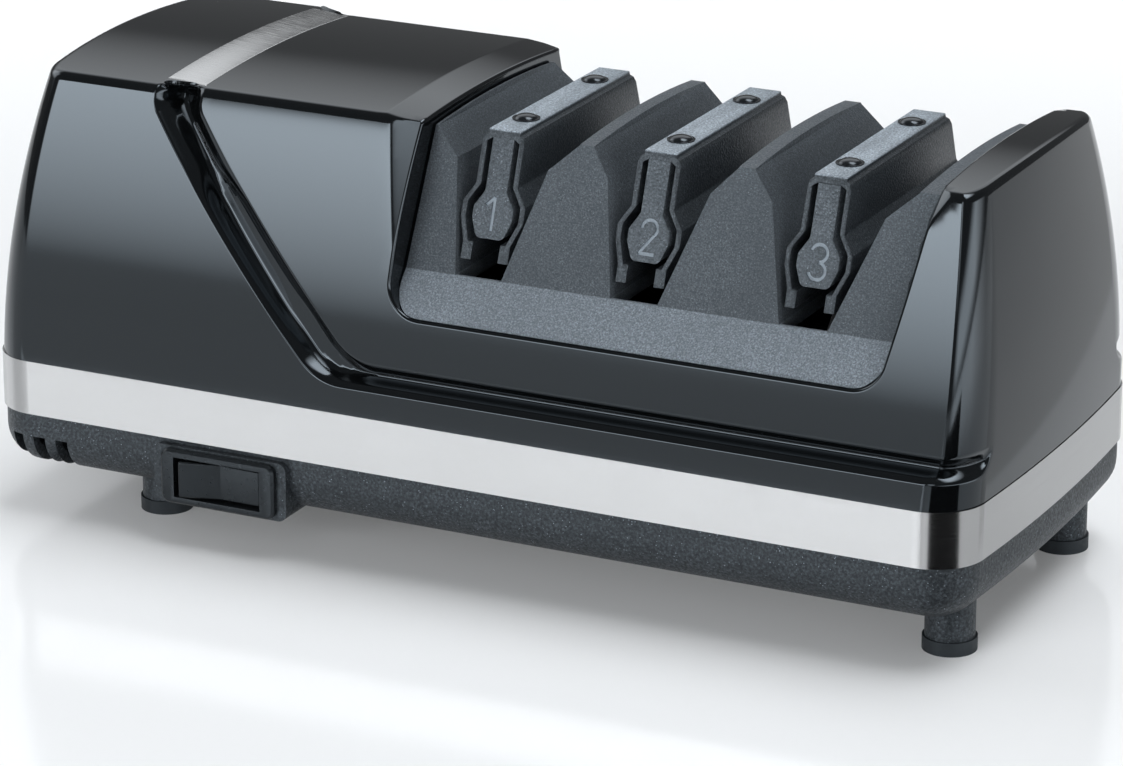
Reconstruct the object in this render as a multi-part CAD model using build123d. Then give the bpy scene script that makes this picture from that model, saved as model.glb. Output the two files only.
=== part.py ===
"""Electric knife sharpener with three stages on one motor shaft.

Millimetres. X runs along the length, from the motor end to the last stage, -Y is the switch side,
Z is up, and the origin is at the bottom centre, on the surface that the rubber feet rest on.
"""

from build123d import *
import math
import os

# ---- overall form ----
length = 250.0
depth = 106.4
plan_corner = 12.0
end_bow = 2.46
wall = 2.5
touch = 0.02
fit_gap = 0.05
seat_gap = 0.3
# how far a cutter runs past what it cuts
past = 1.0

# base and trim band, from the worktop up
base_bottom = 11.0
base_height = 13.9
base_inset = 0.6
base_round = 9.0
base_floor = 2.5
spigot_inset = 0.85
band_height = 13.0
band_thickness = 0.8
base_inside = base_bottom + base_floor
band_bottom = base_bottom + base_height
cover_bottom = band_bottom + band_height
front_wall = depth / 2 - base_inset

# feet and the screws inside them
foot_left_inset = 39.35
foot_left_x = foot_left_inset - length / 2
foot_right_inset = 11.7
foot_right_x = length / 2 - foot_right_inset
foot_cap_height = 3.2
foot_cap_floor = 1.2
stem_radius = 5.66
foot_cap_wall = 0.5
foot_radius = stem_radius + foot_cap_wall
stem_reach = 2.5
stem_top = base_inside + stem_reach
screw_radius = 1.5
screw_hole_gap = 0.3
screw_hole_radius = screw_radius + screw_hole_gap
screw_head_radius = 3.0
screw_head_height = 2.2
screw_well_gap = 0.4
screw_well_radius = screw_head_radius + screw_well_gap
screw_seat_drop = 3.0
screw_well_top = base_bottom - screw_seat_drop
screw_reach = 12.0
cover_post_radius = 4.0

# abrasive disks, and the shaft just high enough for them
disk_radius = 28.5
disk_floor_gap = 3.0
disk_gap_half = 1.25
disk_rim = 1.7
polishing_rim = 2.0
disk_cone_end = 7.2
disk_cone_radius = 11.0
disk_hub_radius = 7.0
disk_hub_end = 10.0
disk_pocket_radius = 10.0
disk_pocket_floor = 3.6
disk_slot_depth = 3.0
pin_radius = 1.0
pin_end_gap = 0.8
pin_half = disk_hub_radius - pin_end_gap
pin_side_gap = 0.1
coil_spring_radius = 5.5
coil_spring_wire = 0.6
coil_spring_turns = 2.5
shaft_radius = 3.0
running_gap = 0.05
shaft_height = base_inside + disk_floor_gap + disk_radius
disk_top = shaft_height + disk_radius
pin_place = disk_hub_end - disk_slot_depth + pin_radius + touch

# centres of the stages along the shaft
first_stage = 1.1
stage_pitches = [38.5, 40.7]
stage_x = [first_stage, first_stage + stage_pitches[0], first_stage + sum(stage_pitches)]

# knife spring: its heights are counted from its feet, just over the disks
spring_lift = 0.5
spring_foot_bottom = disk_top + spring_lift
spring_foot_height = 3.8
spring_foot_top = spring_foot_bottom + spring_foot_height
bulge_low_rise = 8.8
spring_bulge_low = spring_foot_bottom + bulge_low_rise
bulge_high_rise = 12.2
spring_bulge_high = spring_foot_bottom + bulge_high_rise
neck_low_rise = 16.2
spring_neck_low = spring_foot_bottom + neck_low_rise
spring_slot_rise = 25.4
spring_slot_top = spring_foot_bottom + spring_slot_rise
strap_rise = 28.0
strap_top = spring_foot_bottom + strap_rise
spring_wall = 1.2
spring_neck_half = 5.2
spring_bulge_half = 7.8
spring_foot_near = 6.3
spring_foot_far = 5.5
spring_foot_width = 2.5
strap_half = 3.9
strap_step = 0.9
button_offset = 17.7
button_radius = 3.2
button_height = 1.2
button_shank = 9.0

# stage post inside the spring
strap_thickness = 1.8
post_top = strap_top - strap_thickness
post_neck_half = 2.65
post_neck_drop = 1.3
post_neck_bottom = spring_neck_low - post_neck_drop
bulb_half = 4.95
bulb_drop = 0.8
bulb_high = spring_bulge_high - bulb_drop
bulb_low = spring_bulge_low
bulb_lift = 1.0
bulb_bottom = spring_foot_top + bulb_lift
bulb_bottom_half = 3.3
bulb_round = 1.5
pillar_half = 2.4
pillar_thickness = 4.6
digit_height = 7.6
digit_stroke = 0.8
digit_depth = 0.4
digit_middle = (bulb_low + bulb_high) / 2

# guide insert; its guides and the stage posts end in faces that lean back
guide_lean = 0.36
guide_inset = 23.7
guide_half = depth / 2 - guide_inset
lean_datum_drop = 1.0
lean_datum = strap_top - lean_datum_drop
guide_crown_rise = 0.8
guide_crown = strap_top + guide_crown_rise
guide_roof_radius = 322.0
ledge_drop = 3.0
ledge_height = disk_top - ledge_drop
ledge_half = guide_half + guide_lean * (lean_datum - ledge_height)
ledge_foot_inset = 5.0
ledge_foot_half = depth / 2 - ledge_foot_inset
ledge_foot_rise = 0.7
deck_thickness = 3.0
post_inset = 1.0
post_half = guide_half - post_inset
slot_front_inset = 1.1
stage_slot_front = ledge_half - slot_front_inset
slot_rear_reach = 1.5
stage_slot_rear = guide_half + slot_rear_reach
# distances of the guide faces from the stage centre at ledge, shoulder and top
shoulder_rise = 24.7
shoulder_height = ledge_height + shoulder_rise
peak_rise = 30.8
peak_height = ledge_height + peak_rise
near_foot = 6.5
near_shoulders = [10.3, 11.4, 12.3]
near_peaks = [16.2, 15.8, 17.4]
far_foot = 4.9
far_shoulders = [12.4, 13.6, 14.4]
far_peaks = [19.2, 19.4, 21.4]

# cover: how far its skin and its upper panel lean in at the foot, the middle and above the roof
cover_inset = 0.2
skin_leans = [0.0, 4.4, 15.2]
panel_leans = [1.3, 6.4, 18.4]
panel_crown_rise = 4.2
panel_crown = strap_top + panel_crown_rise
skin_step = 0.6
skin_crown = panel_crown + skin_step
middle_rise = 34.1
middle_height = cover_bottom + middle_rise
form_margin = 2.2
form_top = skin_crown + form_margin
roof_radius = 370.0
left_leans = [0.0, 3.0, 10.6]
right_leans = [0.0, 1.0, 6.2]
corner_rounds = [11.8, 9.0, 5.5]
cover_edge_round = 2.4

# U-shaped opening for the guide insert
opening_floor_drop = 8.9
opening_floor = ledge_height - opening_floor_drop
left_foot_reach = 19.9
opening_left_foot = stage_x[0] - left_foot_reach
left_top_reach = 16.7
opening_left_top = stage_x[0] - left_top_reach
right_foot_reach = 20.1
opening_right_foot = stage_x[-1] + right_foot_reach
right_top_reach = 27.9
opening_right_top = stage_x[-1] + right_top_reach
opening_corner = 7.5
insert_gap = 0.4
flange_width = 6.0
flange_margin = 0.5
flange_inner_half = ledge_half + flange_margin
facet_reach = 9.5
facet_drop = 1.4
facet_foot_rise = 11.4
facet_foot = opening_floor + facet_foot_rise
facet_foot_inset = 6.7
facet_foot_half = depth / 2 - facet_foot_inset
facet_top_inset = 17.2
facet_top_half = depth / 2 - facet_top_inset
facet_depth = 3.0

# groove between skin and panel, seen from the front, and the inlay in its roof end
groove_drop = 1.3
groove_rise = 6.4
groove_low = cover_bottom + groove_rise
groove_width = 5.5
groove_high = groove_low + groove_width
groove_end_inset = 6.0
groove_end = length / 2 - groove_end_inset
left_knee_reach = 16.2
groove_left_knee = opening_left_foot - left_knee_reach
right_knee_reach = 8.2
groove_right_knee = opening_left_foot - right_knee_reach
groove_bend = 14.0
strip_reach = 64.4
strip_left = opening_left_top - strip_reach
strip_width = 10.2
strip_drop = 5.4
strip_turn = panel_crown - strip_drop
strip_thickness = 1.1

# motor
bobbin_wall = 0.9
bobbin_flange = 1.2
coil_build = 8.2
coil_end_gap = 0.6
coil_roof_gap = 2.25
motor_reach = 54.2
stack_left = opening_left_foot - motor_reach
stack_length = 24.0
stack_half_width = 29.0
stack_drop = 21.0
stack_bottom = shaft_height - stack_drop
stack_top = panel_crown - groove_drop - wall - coil_roof_gap - coil_build - bobbin_wall - fit_gap
rotor_radius = 15.6
air_gap = 0.4
window_half = 17.0
window_rise = 20.0
window_bottom = shaft_height + window_rise
core_bar = 14.0
window_top = stack_top - core_bar
end_ring_length = 3.0
end_ring_inner = 9.0
bracket_offset = 11.0
bracket_thickness = 4.0
bracket_half_height = 8.0
bearing_boss_radius = 8.0
bearing_length = 8.0
bearing_radius = 5.0
bracket_screw_inset = 6.0
bracket_screw_offset = stack_half_width - bracket_screw_inset
bracket_leg_radius = 4.2
bracket_screw_radius = 1.9
bracket_screw_head = 3.4
bracket_screw_head_height = 2.4
bracket_nut_height = 2.6
cradle_near = 12.0
cradle_far = 20.0
ring_radius = 5.0
ring_thickness = 0.8
fan_gap = 6.9
fan_width = 9.0
fan_radius = 29.0
fan_hub_radius = 7.5
fan_blades = 7
fan_blade_thickness = 1.6
fan_twist = 32.0
stack_right = stack_left + stack_length
bush_overhang = bracket_offset + bracket_thickness / 2 + bearing_length / 2
fan_left = stack_left - bush_overhang - seat_gap - ring_thickness - fan_gap - fan_width
fan_shaft_end = 2.0
shaft_left = fan_left - fan_shaft_end

# the feet and their screw posts stand clear of the motor brackets
foot_bracket_gap = 1.5
foot_y = stack_half_width + cover_post_radius + foot_bracket_gap

# end bearing of the shaft
pedestal_gap = 1.7
pedestal_left = stage_x[-1] + disk_hub_end + pedestal_gap
pedestal_thickness = 3.0
pedestal_half_width = 15.0
pedestal_rise = 3.0
pedestal_top = shaft_height + bearing_boss_radius + pedestal_rise
pedestal_foot = 13.0
pedestal_boss_length = 6.0
pedestal_screw_y = 9.0
pedestal_screw_radius = 1.5
pedestal_screw_head = 2.8
pedestal_screw_tip = 0.5
pedestal_screw_x = pedestal_left + (pedestal_foot + pedestal_thickness) / 2
shaft_tail = 1.0
shaft_right = pedestal_left + pedestal_boss_length + shaft_tail

# switch, from the rocker outwards
switch_inset = 65.4
switch_x = switch_inset - length / 2
switch_rise = 5.75
switch_z = base_bottom + switch_rise
rocker_half = 10.2
rocker_half_height = 4.35
rocker_face = 4.3
rocker_end_face = 5.6
rocker_root = 2.6
rocker_root_gap = 2.5
rocker_tilt = 7.0
rocker_pin_radius = 1.0
rocker_swing_gap = 1.1
rocker_gap = 0.5
switch_side_wall = 2.2
switch_body_half = rocker_half + rocker_swing_gap + switch_side_wall
switch_top_wall = 0.75
switch_body_half_height = rocker_half_height + rocker_gap + switch_top_wall
bezel_lip = 1.4
bezel_half = switch_body_half + bezel_lip
bezel_lip_height = 1.0
bezel_half_height = switch_body_half_height + bezel_lip_height
bezel_thickness = 1.7
bezel_round = 2.2
bezel_chamfer = 0.57
switch_boss_lip = 2.5
switch_boss_half = bezel_half + switch_boss_lip
switch_boss_lip_height = 0.45
switch_boss_half_height = bezel_half_height + switch_boss_lip_height
switch_boss_proud = 1.7
boss_face = front_wall + switch_boss_proud
switch_body_depth = 18.3
switch_rear = switch_body_depth - boss_face
rocker_pivot_depth = 3.9
rocker_pivot_y = rocker_pivot_depth - boss_face
terminal_width = 0.8
terminal_height = 6.3
terminal_length = 8.0
terminal_pitch = 8.0

# vents, cord inlet and clean-out cover
vent_inset = 9.6
vent_first_x = vent_inset - length / 2
vent_pitch = 6.1
vent_width = 3.2
vent_drop = 5.7
vent_top = band_bottom - vent_drop
vent_reach = 10.0
cord_inset = 29.0
cord_x = cord_inset - length / 2
cord_bore_radius = 3.2
grommet_wall = 1.4
grommet_neck_radius = cord_bore_radius + grommet_wall
grommet_lip = 1.1
grommet_flange_radius = grommet_neck_radius + grommet_lip
grommet_flange = 2.2
grommet_inner_lip = 0.7
grommet_inner_radius = grommet_neck_radius + grommet_inner_lip
grommet_inner_flange = 1.6
cord_band_gap = 0.2
cord_z = band_bottom - grommet_flange_radius - cord_band_gap
cord_boss_lip = 2.8
cord_boss_half = grommet_flange_radius + cord_boss_lip
cord_boss_high = cord_z + grommet_flange_radius
cord_boss_lift = 0.4
cord_boss_low = base_bottom + cord_boss_lift
cord_boss_thickness = 8.3
cord_boss_inner = boss_face - cord_boss_thickness
cleanout_left_reach = 10.9
cleanout_left = stage_x[0] + cleanout_left_reach
cleanout_right_inset = 12.3
cleanout_right = stage_x[-1] - cleanout_right_inset
cleanout_half = 17.0
cleanout_gap = 0.05
cleanout_step = 1.5
cleanout_skin = 1.2
magnet_length = 12.0
magnet_width = 20.0
magnet_height = 1.6


def block(x0, x1, y0, y1, z0, z1):
    """A box between two corners."""
    return Pos((x0 + x1) / 2, (y0 + y1) / 2, (z0 + z1) / 2) * Box(x1 - x0, y1 - y0, z1 - z0)


def along_x(radius, x0, x1, y=0.0, z=shaft_height):
    """A cylinder along X."""
    return Plane((x0, y, z), x_dir=(0, 1, 0), z_dir=(1, 0, 0)) * Cylinder(
        radius, x1 - x0, align=(Align.CENTER, Align.CENTER, Align.MIN)
    )


def along_y(radius, y0, y1, x, z):
    """A cylinder along Y."""
    return Plane((x, y0, z), x_dir=(1, 0, 0), z_dir=(0, 1, 0)) * Cylinder(
        radius, y1 - y0, align=(Align.CENTER, Align.CENTER, Align.MIN)
    )


def along_z(radius, z0, z1, x, y):
    """A cylinder along Z."""
    return Pos(x, y, z0) * Cylinder(radius, z1 - z0, align=(Align.CENTER, Align.CENTER, Align.MIN))


def front_prism(face, y0, y1):
    """A face drawn in X and Z, carried from y0 to y1."""
    return extrude(Plane((0, y1, 0), x_dir=(1, 0, 0), z_dir=(0, -1, 0)) * face, y1 - y0)


def side_prism(face, x0, x1):
    """A face drawn in Y and Z, carried from x0 to x1."""
    return extrude(Plane((x0, 0, 0), x_dir=(0, 1, 0), z_dir=(1, 0, 0)) * face, x1 - x0)


def outline(points):
    """A closed face with straight sides."""
    return make_face(Polyline(*points, close=True))


def plan_face(left, right, half, corner):
    """A rounded plan with straight long sides and bowed ends."""
    edges = Curve() + [
        Line((left + end_bow, -half), (right - end_bow, -half)),
        ThreePointArc((right - end_bow, -half), (right, 0), (right - end_bow, half)),
        Line((right - end_bow, half), (left + end_bow, half)),
        ThreePointArc((left + end_bow, half), (left, 0), (left + end_bow, -half)),
    ]
    face = make_face(edges)
    return fillet(face.vertices(), corner)


def foot_plan(inset):
    """The plan of the housing at the trim band."""
    x = length / 2 - inset
    return plan_face(-x, x, depth / 2 - inset, plan_corner - inset)


def housing_form(leans, crown, inset):
    """The leaning body of the cover for one set of side leans, inset all round."""
    x = length / 2 - cover_inset - inset
    half = depth / 2 - cover_inset - inset
    levels = zip([cover_bottom, middle_height, form_top], leans, left_leans, right_leans, corner_rounds)
    sections = [
        Pos(0, 0, z) * plan_face(left - x, x - right, half - lean, corner - inset)
        for z, lean, left, right, corner in levels
    ]
    roof = along_x(roof_radius, -length, length, 0, crown - inset - roof_radius)
    return loft(sections) & roof


def rounded_form(leans, crown):
    """The outer body with its roof edge rounded."""
    form = housing_form(leans, crown, 0)
    roof_edges = form.edges().filter_by(lambda e: e.center().Z > (middle_height + crown) / 2)
    roof_edges = roof_edges.filter_by(lambda e: e.bounding_box().size.Z < crown - middle_height)
    return fillet(roof_edges, cover_edge_round)


def opening_face(inset):
    """The U of the opening, seen from the front; a positive inset makes it narrower."""
    points = [
        (opening_left_top + inset, form_top),
        (opening_left_foot + inset, opening_floor + inset),
        (opening_right_foot - inset, opening_floor + inset),
        (opening_right_top - inset, form_top),
    ]
    face = outline(points)
    feet = face.vertices().group_by(Axis.Y)[0]
    return fillet(feet, opening_corner - inset)


def groove_face():
    """The path of the groove: down from the roof, round a bend and along the foot of the panel."""
    strip_right = strip_left + strip_width
    points = [
        (strip_left, form_top),
        (strip_left, strip_turn),
        (groove_left_knee, groove_low),
        (groove_end, groove_low),
        (groove_end, groove_high),
        (groove_right_knee, groove_high),
        (strip_right, strip_turn),
        (strip_right, form_top),
    ]
    face = outline(points)
    low_knee = face.vertices().sort_by_distance((groove_left_knee, groove_low, 0))[0]
    high_knee = face.vertices().sort_by_distance((groove_right_knee, groove_high, 0))[0]
    return fillet([low_knee, high_knee], groove_bend)


def panel_face():
    """What lies above and to the right of the groove."""
    far = length / 2 + past
    region = outline(
        [
            (strip_left, form_top),
            (strip_left, strip_turn),
            (groove_left_knee, groove_low),
            (groove_end, groove_low),
            (groove_end, groove_high),
            (far, groove_high),
            (far, form_top),
        ]
    )
    low_knee = region.vertices().sort_by_distance((groove_left_knee, groove_low, 0))[0]
    return fillet(low_knee, groove_bend) - groove_face()


def facet_cutter(side):
    """The flat that thins the motor block's corner beside the opening."""
    top_edge = Vector(opening_left_top - facet_reach, side * facet_top_half, panel_crown)
    foot_edge = Vector(opening_left_foot, side * facet_foot_half, facet_foot)
    inner = Vector(opening_left_top, side * (facet_top_half - facet_depth), panel_crown)
    normal = (foot_edge - top_edge).cross(inner - top_edge)
    if normal.Y * side < 0:
        normal = normal * -1
    slab = Plane(top_edge, z_dir=normal) * Pos(0, 0, depth / 2) * Box(length, length, depth)
    left = opening_left_top - facet_reach - facet_depth
    region = block(left, opening_left_top + facet_depth, -depth, depth, opening_floor, form_top)
    return slab & region


def roof_facet_cutter():
    """The slope at the end of the motor block's roof."""
    left = opening_left_top - facet_reach
    right = opening_left_top + past
    face = outline([(left, panel_crown), (right, panel_crown - facet_drop), (right, form_top), (left, form_top)])
    return front_prism(face, -depth, depth)


def cover_outside():
    """Skin, groove bed and panel as one closed body."""
    skin = rounded_form(skin_leans, skin_crown)
    panel = rounded_form(panel_leans, panel_crown)
    bed = housing_form(panel_leans, panel_crown, groove_drop)
    groove = front_prism(groove_face(), -depth, depth)
    upper = front_prism(panel_face(), -depth, depth)
    body = (skin - groove - upper) + (panel & upper) + (bed & groove)
    return body - facet_cutter(-1) - facet_cutter(1) - roof_facet_cutter()


def foot_places():
    """Centres of the four feet, named by corner."""
    return {
        "front_left": (foot_left_x, -foot_y),
        "front_right": (foot_right_x, -foot_y),
        "rear_left": (foot_left_x, foot_y),
        "rear_right": (foot_right_x, foot_y),
    }


def make_cover():
    """Gloss housing: shell, opening, flange for the insert and screw posts."""
    opening = front_prism(opening_face(0), -depth, depth)
    opening_walls = front_prism(opening_face(-wall), -depth, depth)
    inside = housing_form(panel_leans, panel_crown, wall + groove_drop) - opening_walls
    shell = cover_outside() - opening - inside
    window = block(
        opening_left_foot + flange_width,
        opening_right_foot - flange_width,
        -flange_inner_half,
        flange_inner_half,
        opening_floor - 2 * wall,
        opening_floor + past,
    )
    shell = shell - window
    limit = housing_form(panel_leans, panel_crown, groove_drop)
    for x, y in foot_places().values():
        post = along_z(cover_post_radius, cover_bottom, form_top, x, y) & limit
        stub = along_z(cover_post_radius, stem_top + touch, cover_bottom, x, y)
        pilot = along_z(screw_radius + touch, stem_top, screw_well_top + screw_reach + past, x, y)
        shell = shell + (post - opening) + (stub - pilot)
    return shell


def make_strip():
    """Silver inlay over the roof, in the head of the groove."""
    top = housing_form(panel_leans, panel_crown, groove_drop - strip_thickness)
    bed = housing_form(panel_leans, panel_crown, groove_drop)
    roof = block(strip_left + touch, strip_left + strip_width - touch, -depth, depth, strip_turn, form_top)
    return (top - bed) & roof


def make_trim_band():
    """Stainless band between cover and base."""
    ring = foot_plan(0) - foot_plan(band_thickness)
    return extrude(Pos(0, 0, band_bottom) * ring, cover_bottom - band_bottom)


def make_base():
    """Lower tray with spigot, foot stems, bosses, vents and the seats of what stands in it."""
    base = extrude(Pos(0, 0, base_bottom) * foot_plan(base_inset), band_bottom - base_bottom)
    base = fillet(base.faces().sort_by(Axis.Z)[0].edges(), base_round)
    base = base + extrude(Pos(0, 0, band_bottom) * foot_plan(spigot_inset), cover_bottom - band_bottom)
    inside = extrude(Pos(0, 0, base_inside) * foot_plan(base_inset + base_floor), cover_bottom)
    inside = fillet(inside.faces().sort_by(Axis.Z)[0].edges(), base_round - base_floor)
    base = base - inside
    base = base + switch_boss() + cord_boss()
    for x, y in foot_places().values():
        base = base + along_z(stem_radius, foot_cap_floor, stem_top, x, y)
        base = base - along_z(screw_well_radius, foot_cap_floor, screw_well_top, x, y)
        base = base - along_z(screw_hole_radius, screw_well_top, stem_top, x, y)
    for side in (-1, 1):
        near, far = sorted((side * cradle_near, side * cradle_far))
        base = base + block(stack_left, stack_right, near, far, base_inside - touch, stack_bottom)
    base = base - switch_pocket() - vents()
    base = base - along_y(grommet_neck_radius + touch, 0, depth, cord_x, cord_z)
    base = base - along_y(grommet_inner_radius + fit_gap, 0, cord_boss_inner, cord_x, cord_z)
    base = base - cleanout_plate(cleanout_gap)
    for y in (-pedestal_screw_y, pedestal_screw_y):
        base = base - along_z(pedestal_screw_radius + touch, base_bottom, base_inside, pedestal_screw_x, y)
    return base


def switch_boss():
    """The thickened place on the front wall that carries the switch."""
    face = Pos(switch_x, switch_z) * RectangleRounded(
        2 * switch_boss_half, 2 * switch_boss_half_height, bezel_round
    )
    return front_prism(face, -boss_face, switch_rear - touch)


def switch_pocket():
    """The hole that the switch body is pushed into."""
    return block(
        switch_x - switch_body_half - fit_gap,
        switch_x + switch_body_half + fit_gap,
        -depth,
        switch_rear + past,
        switch_z - switch_body_half_height - fit_gap,
        switch_z + switch_body_half_height + fit_gap,
    )


def cord_boss():
    """The flat place on the rear wall for the cord's grommet."""
    return block(
        cord_x - cord_boss_half, cord_x + cord_boss_half, cord_boss_inner, boss_face, cord_boss_low, cord_boss_high
    )


def vents():
    """Air slots through the lower edge at the motor end, front and rear."""
    slots = Part()
    for i in range(3):
        x = vent_first_x + i * vent_pitch
        for side in (-1, 1):
            near, far = sorted((side * (depth / 2 - vent_reach), side * depth))
            slots = slots + block(x - vent_width / 2, x + vent_width / 2, near, far, 0, vent_top)
    return slots


def cleanout_plate(grow):
    """The clean-out cover's stepped plate, or with grow its hole in the base."""
    top = base_bottom + cleanout_skin
    inner = cleanout_step - grow
    skin = block(
        cleanout_left - grow,
        cleanout_right + grow,
        -cleanout_half - grow,
        cleanout_half + grow,
        base_bottom - grow,
        top,
    )
    core = block(
        cleanout_left + inner,
        cleanout_right - inner,
        -cleanout_half + inner,
        cleanout_half - inner,
        base_bottom,
        base_inside + grow,
    )
    return skin + core


def make_cleanout_cover():
    """Plate under the stages that is taken off to empty them."""
    return cleanout_plate(0)


def make_magnet():
    """Magnet on the clean-out cover that gathers filings."""
    x = (stage_x[0] + stage_x[1]) / 2
    return block(
        x - magnet_length / 2,
        x + magnet_length / 2,
        -magnet_width / 2,
        magnet_width / 2,
        base_inside,
        base_inside + magnet_height,
    )


def make_foot_cap(x, y):
    """Rubber cap on the end of one stem."""
    cap = along_z(foot_radius, 0, foot_cap_height, x, y)
    return cap - along_z(stem_radius + touch, foot_cap_floor, foot_cap_height, x, y)


def make_base_screws():
    """The four screws that hold the cover, hidden in the stems."""
    screws = []
    for x, y in foot_places().values():
        head = along_z(screw_head_radius, screw_well_top - screw_head_height, screw_well_top, x, y)
        shank = along_z(screw_radius, screw_well_top, screw_well_top + screw_reach, x, y)
        screws.append(head + shank)
    return Compound(children=screws)


# ---- stages ----
def leaning_side(half, bottom, top):
    """Faces that lean back at both ends, seen from the side of the housing."""
    low = half + guide_lean * (lean_datum - bottom)
    high = half + guide_lean * (lean_datum - top)
    return outline([(-low, bottom), (-high, top), (high, top), (low, bottom)])


def guide_walls():
    """Outlines of the four guides: a half guide at each end and two dividers."""
    near = [
        [(x - near_foot, ledge_height), (x - shoulder, shoulder_height), (x - peak, peak_height)]
        for x, shoulder, peak in zip(stage_x, near_shoulders, near_peaks)
    ]
    far = [
        [(x + far_foot, ledge_height), (x + shoulder, shoulder_height), (x + peak, peak_height)]
        for x, shoulder, peak in zip(stage_x, far_shoulders, far_peaks)
    ]
    lefts = [[(opening_left_foot, ledge_height)]] + far
    rights = near + [[(opening_right_top, ledge_height)]]
    faces = []
    for left, right in zip(lefts, rights):
        top_left = (left[-1][0], form_top)
        top_right = (right[-1][0], form_top)
        low_left = (left[0][0], ledge_height - deck_thickness)
        low_right = (right[0][0], ledge_height - deck_thickness)
        faces.append(outline([low_left, *left, top_left, top_right, *reversed(right), low_right]))
    return faces


def make_insert():
    """Matte tray in the opening, with the guides that set the blade's angle."""
    deck_side = outline(
        [
            (-ledge_foot_half, opening_floor),
            (-ledge_foot_half, opening_floor + ledge_foot_rise),
            (-ledge_half, ledge_height),
            (ledge_half, ledge_height),
            (ledge_foot_half, opening_floor + ledge_foot_rise),
            (ledge_foot_half, opening_floor),
        ]
    )
    fitted = front_prism(opening_face(insert_gap), -depth, depth)
    raised = Pos(0, 0, -insert_gap) * fitted
    deck = side_prism(deck_side, -length, length) & (fitted + raised)
    pocket_half = ledge_half - deck_thickness
    left = opening_left_foot + flange_width
    right = opening_right_foot - flange_width
    deck = deck - block(left, right, -pocket_half, pocket_half, 0, ledge_height - deck_thickness)
    guides = Part()
    for face in guide_walls():
        guides = guides + front_prism(face, -depth, depth)
    roof = along_x(guide_roof_radius, -length, length, 0, guide_crown - guide_roof_radius)
    sides = side_prism(leaning_side(guide_half, ledge_height - touch, form_top), -length, length)
    guides = guides & sides & roof & fitted
    insert = deck + guides
    for x in stage_x:
        insert = insert - block(
            x - near_foot, x + far_foot, -stage_slot_front, stage_slot_rear, 0, ledge_height + touch
        )
    return insert


def digit_path(number):
    """The stroke of a figure, drawn about its middle."""
    h = digit_height / 2
    r = h / 2
    if number == 1:
        return Curve() + [Line((-r, h - r), (0, h)), Line((0, h), (0, -h))]
    if number == 2:
        turn = r * math.cos(math.radians(45))
        return Curve() + [
            ThreePointArc((-r, h - r), (0, h), (r, h - r)),
            ThreePointArc((r, h - r), (r * 0.95, h - r - turn / 2), (turn, h - r - turn)),
            Line((turn, h - r - turn), (-r, -h)),
            Line((-r, -h), (r, -h)),
        ]
    return Curve() + [
        ThreePointArc((-r, h - r * 0.7), (r, h - r), (0, 0)),
        ThreePointArc((0, 0), (r, r - h), (-r, r * 0.7 - h)),
    ]


def make_post(index):
    """Middle wall of one stage, with a numbered bulb at each end and its pillar at the rear."""
    x = stage_x[index]
    half_outline = [
        (post_neck_half, post_top),
        (post_neck_half, post_neck_bottom),
        (bulb_half, bulb_high),
        (bulb_half, bulb_low),
        (bulb_bottom_half, bulb_bottom),
    ]
    right = [(x + dx, z) for dx, z in half_outline]
    left = [(x - dx, z) for dx, z in reversed(half_outline)]
    face = outline(right + left)
    face = fillet(face.vertices().filter_by(lambda v: v.Y < post_neck_bottom + past), bulb_round)
    sides = side_prism(leaning_side(post_half, bulb_bottom, post_top), -length, length)
    post = front_prism(face, -depth, depth) & sides
    pillar = block(
        x - pillar_half,
        x + pillar_half,
        stage_slot_rear + seat_gap,
        stage_slot_rear + seat_gap + pillar_thickness,
        ledge_height,
        bulb_low,
    )
    post = post + pillar
    face_y = post_half + guide_lean * (lean_datum - digit_middle)
    plate = Plane((x, -face_y, digit_middle), x_dir=(1, 0, 0), z_dir=(0, -1, guide_lean))
    digit = Sketch() + [trace(edge, digit_stroke) for edge in digit_path(index + 1).edges()]
    post = post - extrude(plate * digit, -digit_depth)
    for y in (-button_offset, button_offset):
        post = post - along_z(screw_radius + touch, strap_top - button_shank - past, strap_top, x, y)
    return post


def make_knife_spring(index):
    """Thin inverted U over a stage post; its arms press the blade against the guides."""
    x = stage_x[index]

    def arm(side, foot):
        inner_bulge = spring_bulge_half - spring_wall
        inner_neck = spring_neck_half - spring_wall
        points = [
            (strap_half, strap_top),
            (strap_half, strap_top - strap_step),
            (spring_neck_half - strap_step / 2, strap_top - 1.5 * strap_step),
            (spring_neck_half, spring_slot_top),
            (spring_neck_half, spring_neck_low),
            (spring_bulge_half, spring_bulge_high),
            (spring_bulge_half, spring_bulge_low),
            (foot, spring_foot_top),
            (foot, spring_foot_bottom),
            (foot - spring_foot_width, spring_foot_bottom),
            (foot - spring_foot_width, spring_foot_top),
            (foot - spring_wall, spring_foot_top),
            (inner_bulge, spring_bulge_low),
            (inner_bulge, spring_bulge_high),
            (inner_neck, spring_neck_low),
            (inner_neck, spring_slot_top),
            (post_neck_half, post_top + touch),
        ]
        return [(x + side * dx, z) for dx, z in points]

    face = outline(arm(1, spring_foot_far) + list(reversed(arm(-1, spring_foot_near))))
    bends = face.vertices().filter_by(lambda v: spring_foot_top + past < v.Y < spring_neck_low + past)
    face = fillet(bends, spring_wall)
    sides = side_prism(leaning_side(post_half, spring_foot_bottom, strap_top), -length, length)
    spring = front_prism(face, -depth, depth) & sides
    for y in (-button_offset, button_offset):
        spring = spring - along_z(screw_radius + fit_gap, post_top - past, strap_top + past, x, y)
    return spring


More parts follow.
